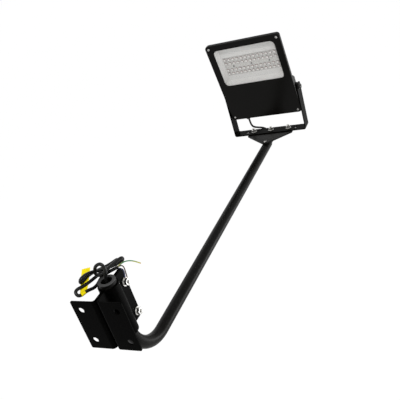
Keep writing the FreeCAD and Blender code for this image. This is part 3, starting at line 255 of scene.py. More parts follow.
def powder_coat(name, depth=1.0):
    """Semi-matt black powder coat: orange peel, faint cloud and a little settled dust.

    A smaller depth gives a darker, less glossy copy of the same coat with less dust: this is
    painted shade.
    """
    f = Finish(name)
    cloud = f.noise(22, 4)
    peel = f.noise(900, 2)
    speck = f.noise(2600, 1)
    dust = (f.noise(260, 3) - 0.56) * 2.2
    dust = f.node("Clamp", None, {"Value": dust, "Max": 0.03 * depth})
    powder = colours().powder
    # a depth below 1 darkens the coat's colour as painted shade
    colour = f.mix(cloud, rgba(powder, 0.8 * depth), rgba(powder, 1.35 * depth))
    colour = f.mix(dust, colour, (0.11, 0.105, 0.10, 1))
    return f.principled(
        Base_Color=colour, Roughness=cloud * 0.14 + 0.26 + dust * 0.8,
        Normal=f.bump(peel * 0.8 + speck * 0.2, 0.14, 0.07 * MM),
        Specular_IOR_Level=0.05 * depth)


def cast_coat(name):
    """Smooth dark coat on the castings, with finer grain and a soft gloss."""
    f = Finish(name)
    cloud = f.noise(14, 3)
    grain = f.noise(1700, 2)
    colour = f.mix(cloud, rgba(colours().cast, 0.85), rgba(colours().cast, 1.3))
    return f.principled(
        Base_Color=colour, Roughness=cloud * 0.10 + 0.20,
        Normal=f.bump(grain, 0.08, 0.05 * MM), Specular_IOR_Level=0.07)


def cable_sheath(name):
    """Matt black sheath with lengthwise draw lines and faint scuffs."""
    f = Finish(name)
    lines = f.noise(36, 2, (1.0, 3.0, 1.0), f.along_cord())
    scuff = f.noise(420, 4)
    colour = f.mix(scuff, rgba(colours().sheath, 0.75), rgba(colours().sheath, 1.7))
    return f.principled(Base_Color=colour, Roughness=lines * 0.2 + 0.20,
                        Normal=f.bump(lines * 0.6 + scuff * 0.4, 0.2, 0.08 * MM),
                        Specular_IOR_Level=0.2)


def core_skin(name, colour, stripe=None):
    """Insulation of one core; the earth core has a second colour wound round it."""
    f = Finish(name)
    wear = f.noise(600, 3)
    if stripe:
        around = f.node("SeparateXYZ", None, {0: f.along_cord()})
        along = Signal(f, around.socket.node.outputs[1])
        turn = f.node("Math", {"operation": "FRACT"}, {0: around + along * 16 + 0.65})
        base = f.mix(turn.above(0.5), rgba(colour), rgba(stripe))
    else:
        base = f.mix(wear, rgba(colour, 0.8), rgba(colour, 1.2))
    return f.principled(Base_Color=base, Roughness=wear * 0.2 + 0.28,
                        Normal=f.bump(wear, 0.15, 0.05 * MM))


def label_film(name):
    """Yellow plastic film, creased a little and left blank."""
    f = Finish(name)
    crease = f.noise(90, 3)
    fine = f.noise(1300, 2)
    colour = f.mix(crease, rgba(colours().label, 0.78), rgba(colours().label, 1.1))
    return f.principled(Base_Color=colour, Roughness=crease * 0.2 + 0.34,
                        Normal=f.bump(crease * 0.8 + fine * 0.2, 0.35, 0.3 * MM),
                        Specular_IOR_Level=0.15)


def board_white(name):
    """Pale solder mask with darker copper pads under it."""
    f = Finish(name)
    across = f.node("Mapping", None, {"Vector": f.position(),
                                      "Rotation": (math.radians(76), 0, 0)})
    tracks = f.node("TexBrick", {"offset": 0.5}, {
        "Vector": across, "Scale": 60.0, "Mortar Size": 0.03,
        "Color1": (0.70, 0.69, 0.66, 1), "Color2": (0.66, 0.65, 0.62, 1),
        "Mortar": (0.50, 0.47, 0.42, 1)})
    grain = f.noise(1200, 2)
    return f.principled(Base_Color=tracks, Roughness=grain * 0.15 + 0.35,
                        Normal=f.bump(grain, 0.1, 0.03 * MM))


def clear_lens(name):
    """Clear moulded lenses with light painted into their colour: a painted glint on their tops,
    painted shade at their feet and the emitters' colour painted in between.
    """
    f = Finish(name)
    place = head_matrix()
    foot = place @ Vector((0, LENS_SEAT, 0))
    offset = f.node("VectorMath", {"operation": "SUBTRACT"}, {0: f.position(), 1: foot})
    depth = f.node("VectorMath", {"operation": "DOT_PRODUCT"},
                   {0: offset, 1: place.to_3x3() @ Vector((0, -1, 0))}, out=1)
    height = f.node("Clamp", None, {"Value": depth / LENS_RISE})
    flow = f.noise(240, 2)
    # by height: painted shade at the foot, the emitters' colour in the middle, a painted glint on
    # top
    colour = f.node("ValToRGB", {"stops": (
        (0.0, (0.05, 0.04, 0.035, 1)), (0.40, (0.15, 0.095, 0.078, 1)),
        (0.66, (0.42, 0.29, 0.24, 1)), (0.80, (1.0, 0.98, 0.96, 1)))}, {0: height})
    return f.principled(Base_Color=colour, Roughness=flow * 0.05 + 0.04,
                        Normal=f.bump(flow, 0.1, 0.1 * MM), IOR=1.6,
                        Alpha=0.95 - height * 0.15)


def front_pane(name):
    """Toughened glass, very slightly green and almost without haze."""
    f = Finish(name)
    haze = f.noise(60, 3)
    colour = f.mix(haze, (0.955, 0.965, 0.96, 1), (0.975, 0.98, 0.975, 1))
    return f.principled(Base_Color=colour, Roughness=haze * 0.03, IOR=1.5,
                        Alpha=haze * 0.05 + 0.07, Normal=f.bump(haze, 0.02, 0.1 * MM))


def grained_finishes():
    """Finishes that are two tones in one noise, with a grain.

    Each has its two tones, the noise between them, the noise of the grain (None where it is
    the same one), how much roughness the grain adds and to what, the strength and height of
    the bump, and what is the same all over.
    """
    tray, glow, powder = colours().tray, colours().phosphor, colours().powder
    metal = {"Metallic": 1.0}
    return {
        # bright zinc with faint blue-yellow drift and fine scratches
        "bright_zinc": (rgba(colours().zinc), (0.70, 0.69, 0.66, 1), (130, 2),
                        (1900, 3, (1.0, 0.16, 1.0)), (0.22, 0.16), (0.15, 0.03 * MM), metal),
        "stainless": ((0.28, 0.28, 0.27, 1), (0.42, 0.41, 0.40, 1), (2200, 2, (1.0, 1.0, 0.1)),
                      None, (0.2, 0.22), (0.1, 0.02 * MM), metal),
        "dark_zinc": ((0.045, 0.045, 0.045, 1), (0.09, 0.088, 0.085, 1), (300, 3), None,
                      (0.2, 0.3), (0.2, 0.05 * MM), metal),
        "driver_case": ((0.34, 0.35, 0.36, 1), (0.50, 0.51, 0.52, 1), (1200, 2, (0.08, 1.0, 1.0)),
                        None, (0.2, 0.3), (0.15, 0.04 * MM), metal),
        "bare_copper": ((0.55, 0.26, 0.13, 1), (0.80, 0.45, 0.27, 1), (3000, 2), None,
                        (0, 0.3), (0.6, 0.1 * MM), metal),
        # a weld bead under the same black coat, a little rougher
        "weld_metal": (rgba(powder, 0.7), rgba(powder, 1.9), (700, 4), None,
                       (0.2, 0.30), (0.4, 0.2 * MM), {"Specular_IOR_Level": 0.07}),
        "tray_white": (rgba(tray, 0.95), rgba(tray, 1.06), (18, 2), (1500, 2),
                       (0.12, 0.38), (0.10, 0.04 * MM), {"Specular_IOR_Level": 0.3}),
        "black_plastic": ((0.003, 0.003, 0.003, 1), (0.006, 0.006, 0.005, 1), (70, 2),
                          (1400, 2), (0.18, 0.34), (0.2, 0.06 * MM),
                          {"Specular_IOR_Level": 0.07}),
        "seal_rubber": ((0.02, 0.02, 0.02, 1), (0.045, 0.044, 0.042, 1), (900, 3), None,
                        (0.2, 0.6), (0.3, 0.1 * MM), {}),
        "emitter": (rgba(glow, 0.85), rgba(glow, 1.15), (2500, 2), None,
                    (0.2, 0.35), (0.2, 0.05 * MM), {}),
        # the clear sheet that the lenses stand on
        "lens_sheet": ((0.86, 0.83, 0.80, 1), (0.93, 0.90, 0.87, 1), (200, 2), None,
                       (0.1, 0.1), (0.05, 0.05 * MM), {"IOR": 1.49, "Alpha": 0.10}),
    }


def grained(name):
    low, high, tone_noise, grain_noise, (rougher, least), bump, same = grained_finishes()[name]
    f = Finish(name)
    tone = f.noise(*tone_noise)
    grain = f.noise(*grain_noise) if grain_noise else tone
    return f.principled(Base_Color=f.mix(tone, low, high),
                        Roughness=grain * rougher + least if rougher else least,
                        Normal=f.bump(grain, *bump), **same)


MAKERS = {
    "powder_coat": powder_coat,
    # the same powder coat, darkened and with less sheen as painted shade
    "deep_coat": lambda name: powder_coat(name, 0.22),
    "cast_coat": cast_coat,
    "cable_sheath": cable_sheath,
    "label_film": label_film,
    "board_white": board_white,
    "clear_lens": clear_lens,
    "front_pane": front_pane,
    "skin_earth": lambda name: core_skin(name, (0.03, 0.20, 0.07), (0.55, 0.52, 0.08)),
    "skin_live": lambda name: core_skin(name, (0.035, 0.014, 0.010)),
    "skin_neutral": lambda name: core_skin(name, (0.012, 0.018, 0.060)),
}


def finish(name):
    """A material by name, made the first time it is asked for."""
    return bpy.data.materials.get(name) or MAKERS.get(name, grained)(name)


def coated(node, material):
    """Gives a CAD node that is shown as it is its finish."""
    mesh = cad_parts[node].data
    mesh.materials.clear()
    mesh.materials.append(finish(material))


# Mesh tools

def head_matrix():
    """From the lamp's own frame, with the tilt axis at its origin, to the row's frame."""
    return (Matrix.Translation(Vector(sizes().tilt_axis))
            @ Matrix.Rotation(sizes().head_lean, 4, "X"))


def linked(name, data):
    holder = bpy.data.objects.new(name, data)
    bpy.context.scene.collection.objects.link(holder)
    return holder


def plain_mesh(holder):
    """The mesh that an object's modifiers or curve give."""
    evaluated = holder.evaluated_get(bpy.context.evaluated_depsgraph_get())
    return bpy.data.meshes.new_from_object(evaluated)


def smooth_by_angle(mesh, angle):
    """Smooth faces with sharp edges kept where two faces meet at more than an angle."""
    shape = bmesh.new()
    shape.from_mesh(mesh)
    for face in shape.faces:
        face.smooth = True
    for edge in shape.edges:
        if len(edge.link_faces) == 2:
            edge.smooth = edge.calc_face_angle(0) < angle
    shape.to_mesh(mesh)
    shape.free()


def new_piece(name, mesh, material, angle=SOFT_ANGLE):
    """An object at the origin that shows a finished mesh."""
    mesh.name = name
    mesh.materials.clear()
    mesh.materials.append(finish(material))
    smooth_by_angle(mesh, angle)
    return linked(name, mesh)


def stand_for(piece, body, slot, *nodes):
    """The piece rides on a body, in place of CAD nodes. The slot is not used."""
    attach(piece, body)
    if nodes:
        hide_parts(*nodes)
    return piece


def softened(node, name, material, width, segments=3):
    """The node's own form with its sharp edges rounded."""
    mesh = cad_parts[node].data.copy()
    shape = bmesh.new()
    shape.from_mesh(mesh)
    bmesh.ops.remove_doubles(shape, verts=shape.verts, dist=0.002 * MM)
    bmesh.ops.dissolve_limit(shape, angle_limit=math.radians(0.6), verts=shape.verts,
                             edges=shape.edges)
    shape.to_mesh(mesh)
    shape.free()
    piece = new_piece(name, mesh, material)
    bevel = piece.modifiers.new("Rounded", "BEVEL")
    bevel.width = width
    bevel.segments = segments
    bevel.limit_method = "ANGLE"
    bevel.angle_limit = math.radians(35)
    bevel.use_clamp_overlap = True
    bevel.miter_outer = "MITER_ARC"
    weighted = piece.modifiers.new("Flat faces", "WEIGHTED_NORMAL")
    weighted.keep_sharp = True
    rounded = plain_mesh(piece)
    piece.modifiers.clear()
    piece.data = rounded
    return piece


def ring_into(shape, centre, first, second, radius, sides):
    """Vertices on the circle that two directions span."""
    angles = (FULL_TURN * side / sides for side in range(sides))
    return [shape.verts.new(centre + (first * math.cos(angle) + second * math.sin(angle))
                            * radius) for angle in angles]


def skin_rings(shape, rings, closed=False):
    """Faces between rings that follow each other; a ring of one vertex is a tip."""
    faces = []
    for low, high in zip(rings, rings[1:] + (rings[:1] if closed else [])):
        count = max(len(low), len(high))
        for side in range(count):
            following = (side + 1) % count
            corners = []
            for ring, index in ((low, side), (low, following), (high, following),
                                (high, side)):
                vertex = ring[index % len(ring)]
                if vertex not in corners:
                    corners.append(vertex)
            if len(corners) > 2:
                faces.append(shape.faces.new(corners))
    return faces


def cap_rings(shape, rings):
    shape.faces.new(list(reversed(rings[0])))
    shape.faces.new(rings[-1])


def finished_mesh(shape, name, merge=True):
    if merge:
        bmesh.ops.remove_doubles(shape, verts=shape.verts, dist=0.001 * MM)
    bmesh.ops.recalc_face_normals(shape, faces=shape.faces)
    mesh = bpy.data.meshes.new(name)
    shape.to_mesh(mesh)
    shape.free()
    return mesh


def lathe_into(shape, profile, sides, closed=False):
    """Turns a profile of (radius, height) about +Z into a bmesh."""
    across, up = Vector((1, 0, 0)), Vector((0, 1, 0))
    rings = []
    for radius, height in profile:
        middle = Vector((0, 0, height))
        rings.append(ring_into(shape, middle, across, up, radius, sides) if radius > 0
                     else [shape.verts.new(middle)])
    skin_rings(shape, rings, closed)


def hexagon_into(shape, flats, foot, height, bore=0.0):
    """A hexagon block with the chamfer that turning leaves on its corners."""
    crown = flats * 0.475
    slope = math.tan(math.radians(30))
    steps = 8

    def rim(limit, chamfered):
        points = []
        for number in range(6 * steps):
            side, step = divmod(number, steps)
            offset = (step / steps - 0.5) * math.pi / 3
            radius = min(flats / 2 / math.cos(offset), limit)
            angle = side * math.pi / 3 + offset
            drop = max(0.0, radius - crown) * slope if chamfered else 0.0
            points.append((radius * math.cos(angle), radius * math.sin(angle), drop))
        return points

    def ring_at(points, level, way):
        return [shape.verts.new((x, y, level + drop * way)) for x, y, drop in points]

    outer, inner = rim(flats, True), rim(crown, False)
    top = foot + height
    rings = [ring_at(inner, foot, 0), ring_at(outer, foot, 1), ring_at(outer, top, -1),
             ring_at(inner, top, 0)]
    if bore:
        hole = [(x * bore / crown, y * bore / crown, 0.0) for x, y, _ in inner]
        rings = [ring_at(hole, foot, 0)] + rings + [ring_at(hole, top, 0)]
        skin_rings(shape, rings, closed=True)
    else:
        skin_rings(shape, rings)
        cap_rings(shape, rings)


def thread_profile(radius, start, end, pitch):
    """Radius and height of a shank that carries a thread."""
    root = radius - pitch * 0.55
    turns = max(1, int((end - start) / pitch))
    step = (end - start) / turns
    profile = [(0, start), (root, start)]
    for turn in range(turns):
        foot = start + turn * step
        profile += [(root, foot + step * 0.1), (radius, foot + step * 0.42),
                    (radius, foot + step * 0.58), (root, foot + step * 0.9)]
    return profile + [(root, end), (0, end)]


def bolt_mesh(grip):
    """A hexagon bolt; the origin is the underside of its head, and the shank runs up."""
    shape = bmesh.new()
    hexagon_into(shape, sizes().bolt_flats, -HEAD_DEPTH, HEAD_DEPTH)
    lathe_into(shape, thread_profile(sizes().bolt_diameter / 2, 0, grip, THREAD_PITCH), 32)
    return finished_mesh(shape, "bolt")


def nut_mesh():
    shape = bmesh.new()
    hexagon_into(shape, sizes().bolt_flats, 0, NUT_DEPTH, bore=sizes().bolt_diameter / 2)
    return finished_mesh(shape, "nut")


def washer_mesh():
    shape = bmesh.new()
    edge = WASHER_DEPTH * 0.18
    lathe_into(shape, [
        (WASHER_HOLE, 0), (WASHER_OUTER - edge, 0), (WASHER_OUTER, edge),
        (WASHER_OUTER, WASHER_DEPTH - edge), (WASHER_OUTER - edge, WASHER_DEPTH),
        (WASHER_HOLE, WASHER_DEPTH)], 48, closed=True)
    return finished_mesh(shape, "washer")


def button_screw_mesh(head, height, shank, length, socket):
    """A domed screw with a socket; its shank runs up from the origin."""
    shape = bmesh.new()
    lathe_into(shape, [(0, length), (shank, length), (shank, 0), (head * 0.97, 0),
                       (head, -height * 0.2), (head * 0.9, -height * 0.62),
                       (head * 0.66, -height * 0.93), (socket * 1.16, -height),
                       (socket, -height * 0.94), (socket * 0.94, -height * 0.35),
                       (0, -height * 0.3)], 36)
    return finished_mesh(shape, "screw")


def rounded_block_mesh(half_x, half_z, rise, exponent, dome):
    """A block with a superellipse outline that rises towards -Y, as a dome or flat."""
    shape = bmesh.new()
    sides = 28
    if dome:
        stations = [(1.0, 0.0), (1.0, 0.12)]
        stations += [(math.cos(angle), 0.12 + 0.88 * math.sin(angle))
                     for angle in (math.radians(degree) for degree in (22, 42, 60, 75))]
    else:
        stations = [(1.0, 0.0), (1.0, 0.75), (0.9, 1.0)]

    def swollen(part):
        return math.copysign(abs(part) ** (2 / exponent), part)

    rings = []
    for share, depth in stations:
        angles = (FULL_TURN * side / sides for side in range(sides))
        rings.append([shape.verts.new((half_x * swollen(math.cos(angle)) * share,
                                       -rise * depth,
                                       half_z * swollen(math.sin(angle)) * share))
                      for angle in angles])
    skin_rings(shape, rings)
    cap_rings(shape, rings)
    return finished_mesh(shape, "block")


# Geometry nodes

def new_tree(name, inputs):
    """An empty geometry tree with named inputs, and the outputs of its input node."""
    tree = bpy.data.node_groups.new(name, "GeometryNodeTree")
    tree.interface.new_socket("Geometry", in_out="INPUT", socket_type="NodeSocketGeometry")
    for label, kind, value in inputs:
        socket = tree.interface.new_socket(label, in_out="INPUT",
                                           socket_type="NodeSocket" + kind)
        if value is not None:
            socket.default_value = value
    tree.interface.new_socket("Geometry", in_out="OUTPUT", socket_type="NodeSocketGeometry")
    return tree, tree.nodes.new("NodeGroupInput").outputs


def grow(tree, kind, inputs=None, out=0, **settings):
    """Adds a node, its settings first and its inputs next, and returns one output."""
    node = tree.nodes.new(kind)
    for setting, value in settings.items():
        setattr(node, setting, value)
    for place, value in (inputs or {}).items():
        if hasattr(value, "is_output"):
            tree.links.new(value, node.inputs[place])
        else:
            node.inputs[place].default_value = value
    return node.outputs[out] if len(node.outputs) else None


def math_on(tree, operation, first, second):
    return grow(tree, "ShaderNodeMath", {0: first, 1: second}, operation=operation)


def finish_tree(tree, given, points, pattern, rotation=None):
    """Puts the pattern on the points, as real faces in the given finish."""
    places = {"Points": points, "Instance": pattern}
    if rotation is not None:
        places["Rotation"] = rotation
    placed = grow(tree, "GeometryNodeInstanceOnPoints", places)
    solid = grow(tree, "GeometryNodeRealizeInstances", {0: placed})
    dressed = grow(tree, "GeometryNodeSetMaterial",
                   {"Geometry": solid, "Material": given["Finish"]})
    grow(tree, "NodeGroupOutput", {0: dressed})
    return tree


def fastener_tree():
    """Puts one fastener on every vertex of its host, turned to an axis."""
    name = "Fasteners on Seats"
    if name in bpy.data.node_groups:
        return bpy.data.node_groups[name]
    tree, given = new_tree(name, (
        ("Fastener", "Object", None), ("Axis", "Vector", (0, 0, 1)), ("Spin", "Float", 0.0),
        ("Spin Step", "Float", 0.0), ("Finish", "Material", None)))
    points = grow(tree, "GeometryNodeMeshToPoints", {"Mesh": given["Geometry"]})
    fastener = grow(tree, "GeometryNodeObjectInfo", {"Object": given["Fastener"]},
                    out="Geometry")
    order = grow(tree, "GeometryNodeInputIndex")
    further = math_on(tree, "MULTIPLY", order, given["Spin Step"])
    spin = math_on(tree, "ADD", further, given["Spin"])
    about_axis = grow(tree, "ShaderNodeCombineXYZ", {"Z": spin})
    turned = grow(tree, "FunctionNodeEulerToRotation", {0: about_axis})
    aligned = grow(tree, "FunctionNodeAlignRotationToVector", {"Vector": given["Axis"]},
                   axis="Z")
    rotation = grow(tree, "FunctionNodeRotateRotation", {0: aligned, 1: turned},
                    rotation_space="LOCAL")
    return finish_tree(tree, given, points, fastener, rotation)


def rows_tree():
    """Rows of one small shape on a flat board, with two inner and two outer rows."""
    name = "Rows on a Board"
    if name in bpy.data.node_groups:
        return bpy.data.node_groups[name]
    tree, given = new_tree(name, (
        ("Shape", "Object", None), ("Columns", "Int", 13), ("Pitch", "Float", 0.01),
        ("Inner Row", "Float", 0.01), ("Outer Row", "Float", 0.02),
        ("Finish", "Material", None)))
    shape = grow(tree, "GeometryNodeObjectInfo", {"Object": given["Shape"]}, out="Geometry")
    gaps = math_on(tree, "SUBTRACT", given["Columns"], 1.0)
    span = math_on(tree, "MULTIPLY", gaps, given["Pitch"])
    half = math_on(tree, "MULTIPLY", span, -0.5)
    rows = tree.nodes.new("GeometryNodeJoinGeometry")
    for row in ("Inner Row", "Outer Row"):
        for side in (1.0, -1.0):
            up = math_on(tree, "MULTIPLY", given[row], side)
            start = grow(tree, "ShaderNodeCombineXYZ", {"X": half, "Z": up})
            step = grow(tree, "ShaderNodeCombineXYZ", {"X": given["Pitch"]})
            line = grow(tree, "GeometryNodeMeshLine", {
                "Count": given["Columns"], "Start Location": start, "Offset": step},
                mode="OFFSET")
            tree.links.new(line, rows.inputs[0])
    return finish_tree(tree, given, rows.outputs[0], shape)


def grown(tree, name, seats, pattern_input, pattern_mesh, values, material, matrix=None,
          angle=SOFT_ANGLE):
    """Runs a tree on a host with a vertex on each seat, and keeps the plain mesh."""
    pattern = linked(name + "_pattern", pattern_mesh)
    host_mesh = bpy.data.meshes.new(name + "_seats")
    host_mesh.from_pydata([tuple(seat) for seat in seats], [], [])
    host = linked(name + "_host", host_mesh)
    growth = host.modifiers.new("Growth", "NODES")
    growth.node_group = tree
    values = {**values, pattern_input: pattern, "Finish": finish(material)}
    for item in tree.interface.items_tree:
        if item.in_out == "INPUT" and item.name in values:
            growth[item.identifier] = values[item.name]
    mesh = plain_mesh(host)
    bpy.data.objects.remove(host)
    bpy.data.objects.remove(pattern)
    if matrix is not None:
        mesh.transform(matrix)
    return new_piece(name, mesh, material, angle)


def fasteners(name, mesh, seats, axis, look, body, node, matrix=None, spin=0.0,
              spin_step=0.0):
    """One fastener on each seat, in place of a CAD node."""
    material, slot = look
    piece = grown(fastener_tree(), name, seats, "Fastener", mesh,
                  {"Axis": axis, "Spin": spin, "Spin Step": spin_step}, material, matrix)
    return stand_for(piece, body, slot, node)


# Cables

def smooth_route(route):
    """Points in metres along the smooth line that a route's own points control."""
    curve = bpy.data.curves.new("route", "CURVE")
    curve.dimensions = "3D"
    spline = curve.splines.new("NURBS")
    spline.points.add(len(route) - 1)
    for control, point in zip(spline.points, route):
        control.co = (*(Vector(point) * MM), 1)
    spline.order_u = 3
    spline.use_endpoint_u = True
    spline.resolution_u = 10
    holder = linked("route", curve)
    mesh = plain_mesh(holder)
    line = [vertex.co.copy() for vertex in mesh.vertices]
    bpy.data.objects.remove(holder)
    bpy.data.meshes.remove(mesh)
    return line


def ways_at(line):
    """The direction of a line at each of its points."""
    runs = [(after - before).normalized() for before, after in zip(line, line[1:])]
    return [(before + after).normalized()
            for before, after in zip(runs[:1] + runs, runs + runs[-1:])]


def tube_mesh(line, radius, sides=20, ripple=None):
    """A tube with flat ends along a line, with a map that runs round and along it."""
    shape = bmesh.new()
    skin = shape.loops.layers.uv.new("UVMap")
    aside = (line[1] - line[0]).normalized().orthogonal().normalized()
    travelled, stops, rings = 0.0, [], []
    for index, (point, way) in enumerate(zip(line, ways_at(line))):
        aside = (aside - way * aside.dot(way)).normalized()
        if index:
            travelled += (point - line[index - 1]).length
        reach = radius * (1 + ripple(travelled)) if ripple else radius
        rings.append(ring_into(shape, point, aside, way.cross(aside), reach, sides))
        stops.append(travelled)
    for number, face in enumerate(skin_rings(shape, rings)):
        span, side = divmod(number, sides)
        spots = ((side, span), (side + 1, span), (side + 1, span + 1), (side, span + 1))
        for loop, (around, stop) in zip(face.loops, spots):
            loop[skin].uv = (around / sides, stops[stop])
    cap_rings(shape, rings)
    return finished_mesh(shape, "tube", merge=False)


HANK_ROUTE = [
    (0, 48.5, 60), (0, 48.5, 71), (8, 50, 86), (3, 50.5, 100), (-10.5, 50, 95),
    (-18, 51, 84), (-19.5, 50.5, 73), (-11.5, 56, 69), (-7, 70, 72), (2.5, 86.5, 75),
    (11, 99, 77), (6, 104, 65), (-3.5, 87.5, 67), (-16.5, 69.5, 71), (-27.5, 52.5, 79),
    (-29.5, 38.5, 84.5), (-33, 25, 84.5), (-40, 28, 72), (-35.5, 42, 74.5), (-33, 58.5, 73),
    (-22, 77.5, 68.5), (-12.5, 91, 68), (-3.5, 102.5, 70), (-12.5, 108.5, 60.5),
    (-19.5, 92, 61.5), (-27, 73.5, 62), (-27, 55, 65), (-34, 31, 66.5), (-44, 11.5, 70),
    (-37, 7.5, 58.8), (-30, 24, 59.5), (-25, 44.5, 51), (-21, 64, 60), (-11, 78, 60.6),
    (4, 85.5, 64),
]
CORE_ROUTES = {
    "earth": [(3.5, 86.8, 64.5), (8, 91, 67), (17, 96, 70), (33, 97, 70), (50, 93, 67)],
    "live": [(4.6, 84.8, 65.3), (12, 86, 68), (22, 80, 70), (30, 70, 66), (35, 62, 60)],
    "neutral": [(4.2, 85, 62.6), (11, 84, 62), (20, 78, 64), (27, 69, 62), (31, 61, 59.5)],
}
CORE_SLOTS = {"earth": "core_green", "live": "core_brown", "neutral": "core_blue"}
ARM_LEAD_ROUTE = [
    (-47, 1066, -113), (-34.25, 1068.625, -116), (-22, 1073, -129), (-9, 1064, -137.5),
    (0, 1046, -136.5), (1.5, 1012, -137.5), (-1.5, 952, -136), (3, 868, -138),
    (-2, 780, -139), (-3, 692, -135), (2, 604, -138), (3, 518, -135.5), (-2.5, 430, -139),
    (1, 344, -136), (3, 262, -138), (-1, 186, -137), (0.5, 114.5, -136.5),
    (-0.5, 72.5, -112.5), (0.5, 48.5, -71), (2, 50, -22), (0, 48.5, 26), (0, 48.5, 60),
]
HEAD_LEAD_ROUTE = [
    (-72, 1049.16, -39.2), (-72, 1059.01, -79), (-71, 1061, -98), (-64, 1062.5, -109),
    (-47, 1066, -113),
]
# Middle of the turn of film round the cable, and the leaf from its foot to its tip
FILM_MIDDLE = Vector((-33, 17, 59)) * MM
FILM_TURN = 10 * MM
LEAF_FOOT = Vector((-1.3, 2.4, -0.6)) * MM
LEAF_REACH = Vector((-8.2, 38.8, 24.0)) * MM
LEAF_TIP_WAY = Vector((0.92, 0.38, 0.0))
LEAF_WIDTH = 16 * MM


def cable_along(name, line):
    return new_piece(name, tube_mesh(line, sizes().cable_diameter / 2), "cable_sheath",
                     ROUND_ANGLE)


def flag_mesh(line, sleeve, foot, tip, foot_way, tip_way, width):
    """Film wound round a strand, with its stuck-together ends as a leaf."""
    film = 0.4 * MM
    rows, columns = 12, 6
    shape = bmesh.new()
    shape.from_mesh(tube_mesh(line, sleeve / 2 + film, 24))
    thickness = foot_way.cross(tip - foot).normalized() * film
    rings = []
    for row in range(rows + 1):
        share = row / rows
        way = foot_way.lerp(tip_way, share).normalized()
        wave = thickness * (2.0 * math.sin(3.4 * share))
        under, over = [[shape.verts.new(
            foot.lerp(tip, share) + thickness * side + wave * (1 + column / columns)
            + way * width * (column / columns - 0.5)) for column in range(columns + 1)]
            for side in (0, 1)]
        rings.append(under + over[::-1])
    skin_rings(shape, rings)
    cap_rings(shape, rings)
    return finished_mesh(shape, "film", merge=False)


# The arm and its welds

def bead_mesh(points, thickness, seed):
    """A weld bead: a row of overlapping ripples along a closed or open line."""
    line = []
    for before, after in zip(points, points[1:]):
        parts = max(1, int((after - before).length / (0.5 * MM)))
        line += [before.lerp(after, part / parts) for part in range(parts)]
    line.append(points[-1])

    def ripple(travelled):
        wave = math.sin(travelled / (2.1 * MM) * FULL_TURN + seed)
        drift = math.sin(travelled / (13 * MM) + seed * 2.3)
        return 0.16 * wave + 0.08 * drift
    return tube_mesh(line, thickness, 10, ripple)


def weld_bead(name, points, thickness, seed):
    bead = new_piece(name, bead_mesh(points, thickness, seed), "weld_metal", ROUND_ANGLE)
    return stand_for(bead, "arm", "black_paint")


def arm_line():
    """The arm's middle line: up through the sleeve, a quarter bend and the long leg."""
    bend, steps, leg = 90 * MM, 40, 12
    line = [Vector((0, SLEEVE_REACH, height * MM)) for height in (62, 20)]
    for step in range(steps + 1):
        angle = math.pi / 2 * step / steps
        line.append(Vector((0, SLEEVE_REACH + bend * (1 - math.cos(angle)),
                            ARM_LEVEL + bend * (1 - math.sin(angle)))))
    corner, end = line[-1], Vector((0, 985 * MM, ARM_LEVEL))
    return line + [corner.lerp(end, step / leg) for step in range(1, leg + 1)]


def pipe_mesh(line, outer, inner, sides):
    """A pipe with a bore and a small chamfer at both ends, along a line in the YZ plane."""
    chamfer = 0.5 * MM
    stations = list(zip(line, ways_at(line)))
    (foot, foot_way), (tip, tip_way) = stations[0], stations[-1]
    spans = [(foot, foot_way, outer - chamfer), (foot + foot_way * chamfer, foot_way, outer)]
    spans += [(point, way, outer) for point, way in stations[1:-1]]
    spans += [(tip - tip_way * chamfer, tip_way, outer), (tip, tip_way, outer - chamfer)]
    spans += [(point, way, inner) for point, way in reversed(stations)]
    shape = bmesh.new()
    across = Vector((1, 0, 0))
    rings = [ring_into(shape, point, across, way.cross(across), radius, sides)
             for point, way, radius in spans]
    skin_rings(shape, rings, closed=True)
    return finished_mesh(shape, "pipe", merge=False)


# Pieces, one operator for each group

class FLOODLIGHT_OT_bracket(bpy.types.Operator):
    """Rounds and coats the two halves of the wall bracket"""

    bl_idname = "floodlight.bracket"
    bl_label = "Wall Bracket"
    bl_options = {"REGISTER", "UNDO"}

    def execute(self, context):
        for side in ("left", "right"):
            # the bracket wears the powder coat darkened by painted shade
            half = softened("bracket_" + side, "wall_bracket_" + side, "deep_coat",
                            sizes().edge_round)
            stand_for(half, "wall", "black_paint", "bracket_" + side)
        return {"FINISHED"}


class FLOODLIGHT_OT_clamp(bpy.types.Operator):
    """Bolts, washers and nuts that close the clamp"""

    bl_idname = "floodlight.clamp"
    bl_label = "Clamp Fasteners"
    bl_options = {"REGISTER", "UNDO"}

    def execute(self, context):
        def seats(*places):
            return [(place, CLAMP_REACH, level) for level in CLAMP_LEVELS
                    for place in places]
        across, grip = (1, 0, 0), 21.7 * MM
        head_side = -CLAMP_FACE - WASHER_DEPTH
        fasteners("clamp_bolts_shown", bolt_mesh(grip), seats(head_side), across, ZINC,
                  "wall", "clamp_bolts", spin=0.35, spin_step=0.4)
        fasteners("clamp_washers_shown", washer_mesh(), seats(head_side, CLAMP_FACE), across,
                  ZINC, "wall", "clamp_washers")
        fasteners("clamp_nuts_shown", nut_mesh(), seats(CLAMP_FACE + WASHER_DEPTH), across,
                  ZINC, "wall", "clamp_nuts", spin=0.2, spin_step=0.55)
        return {"FINISHED"}


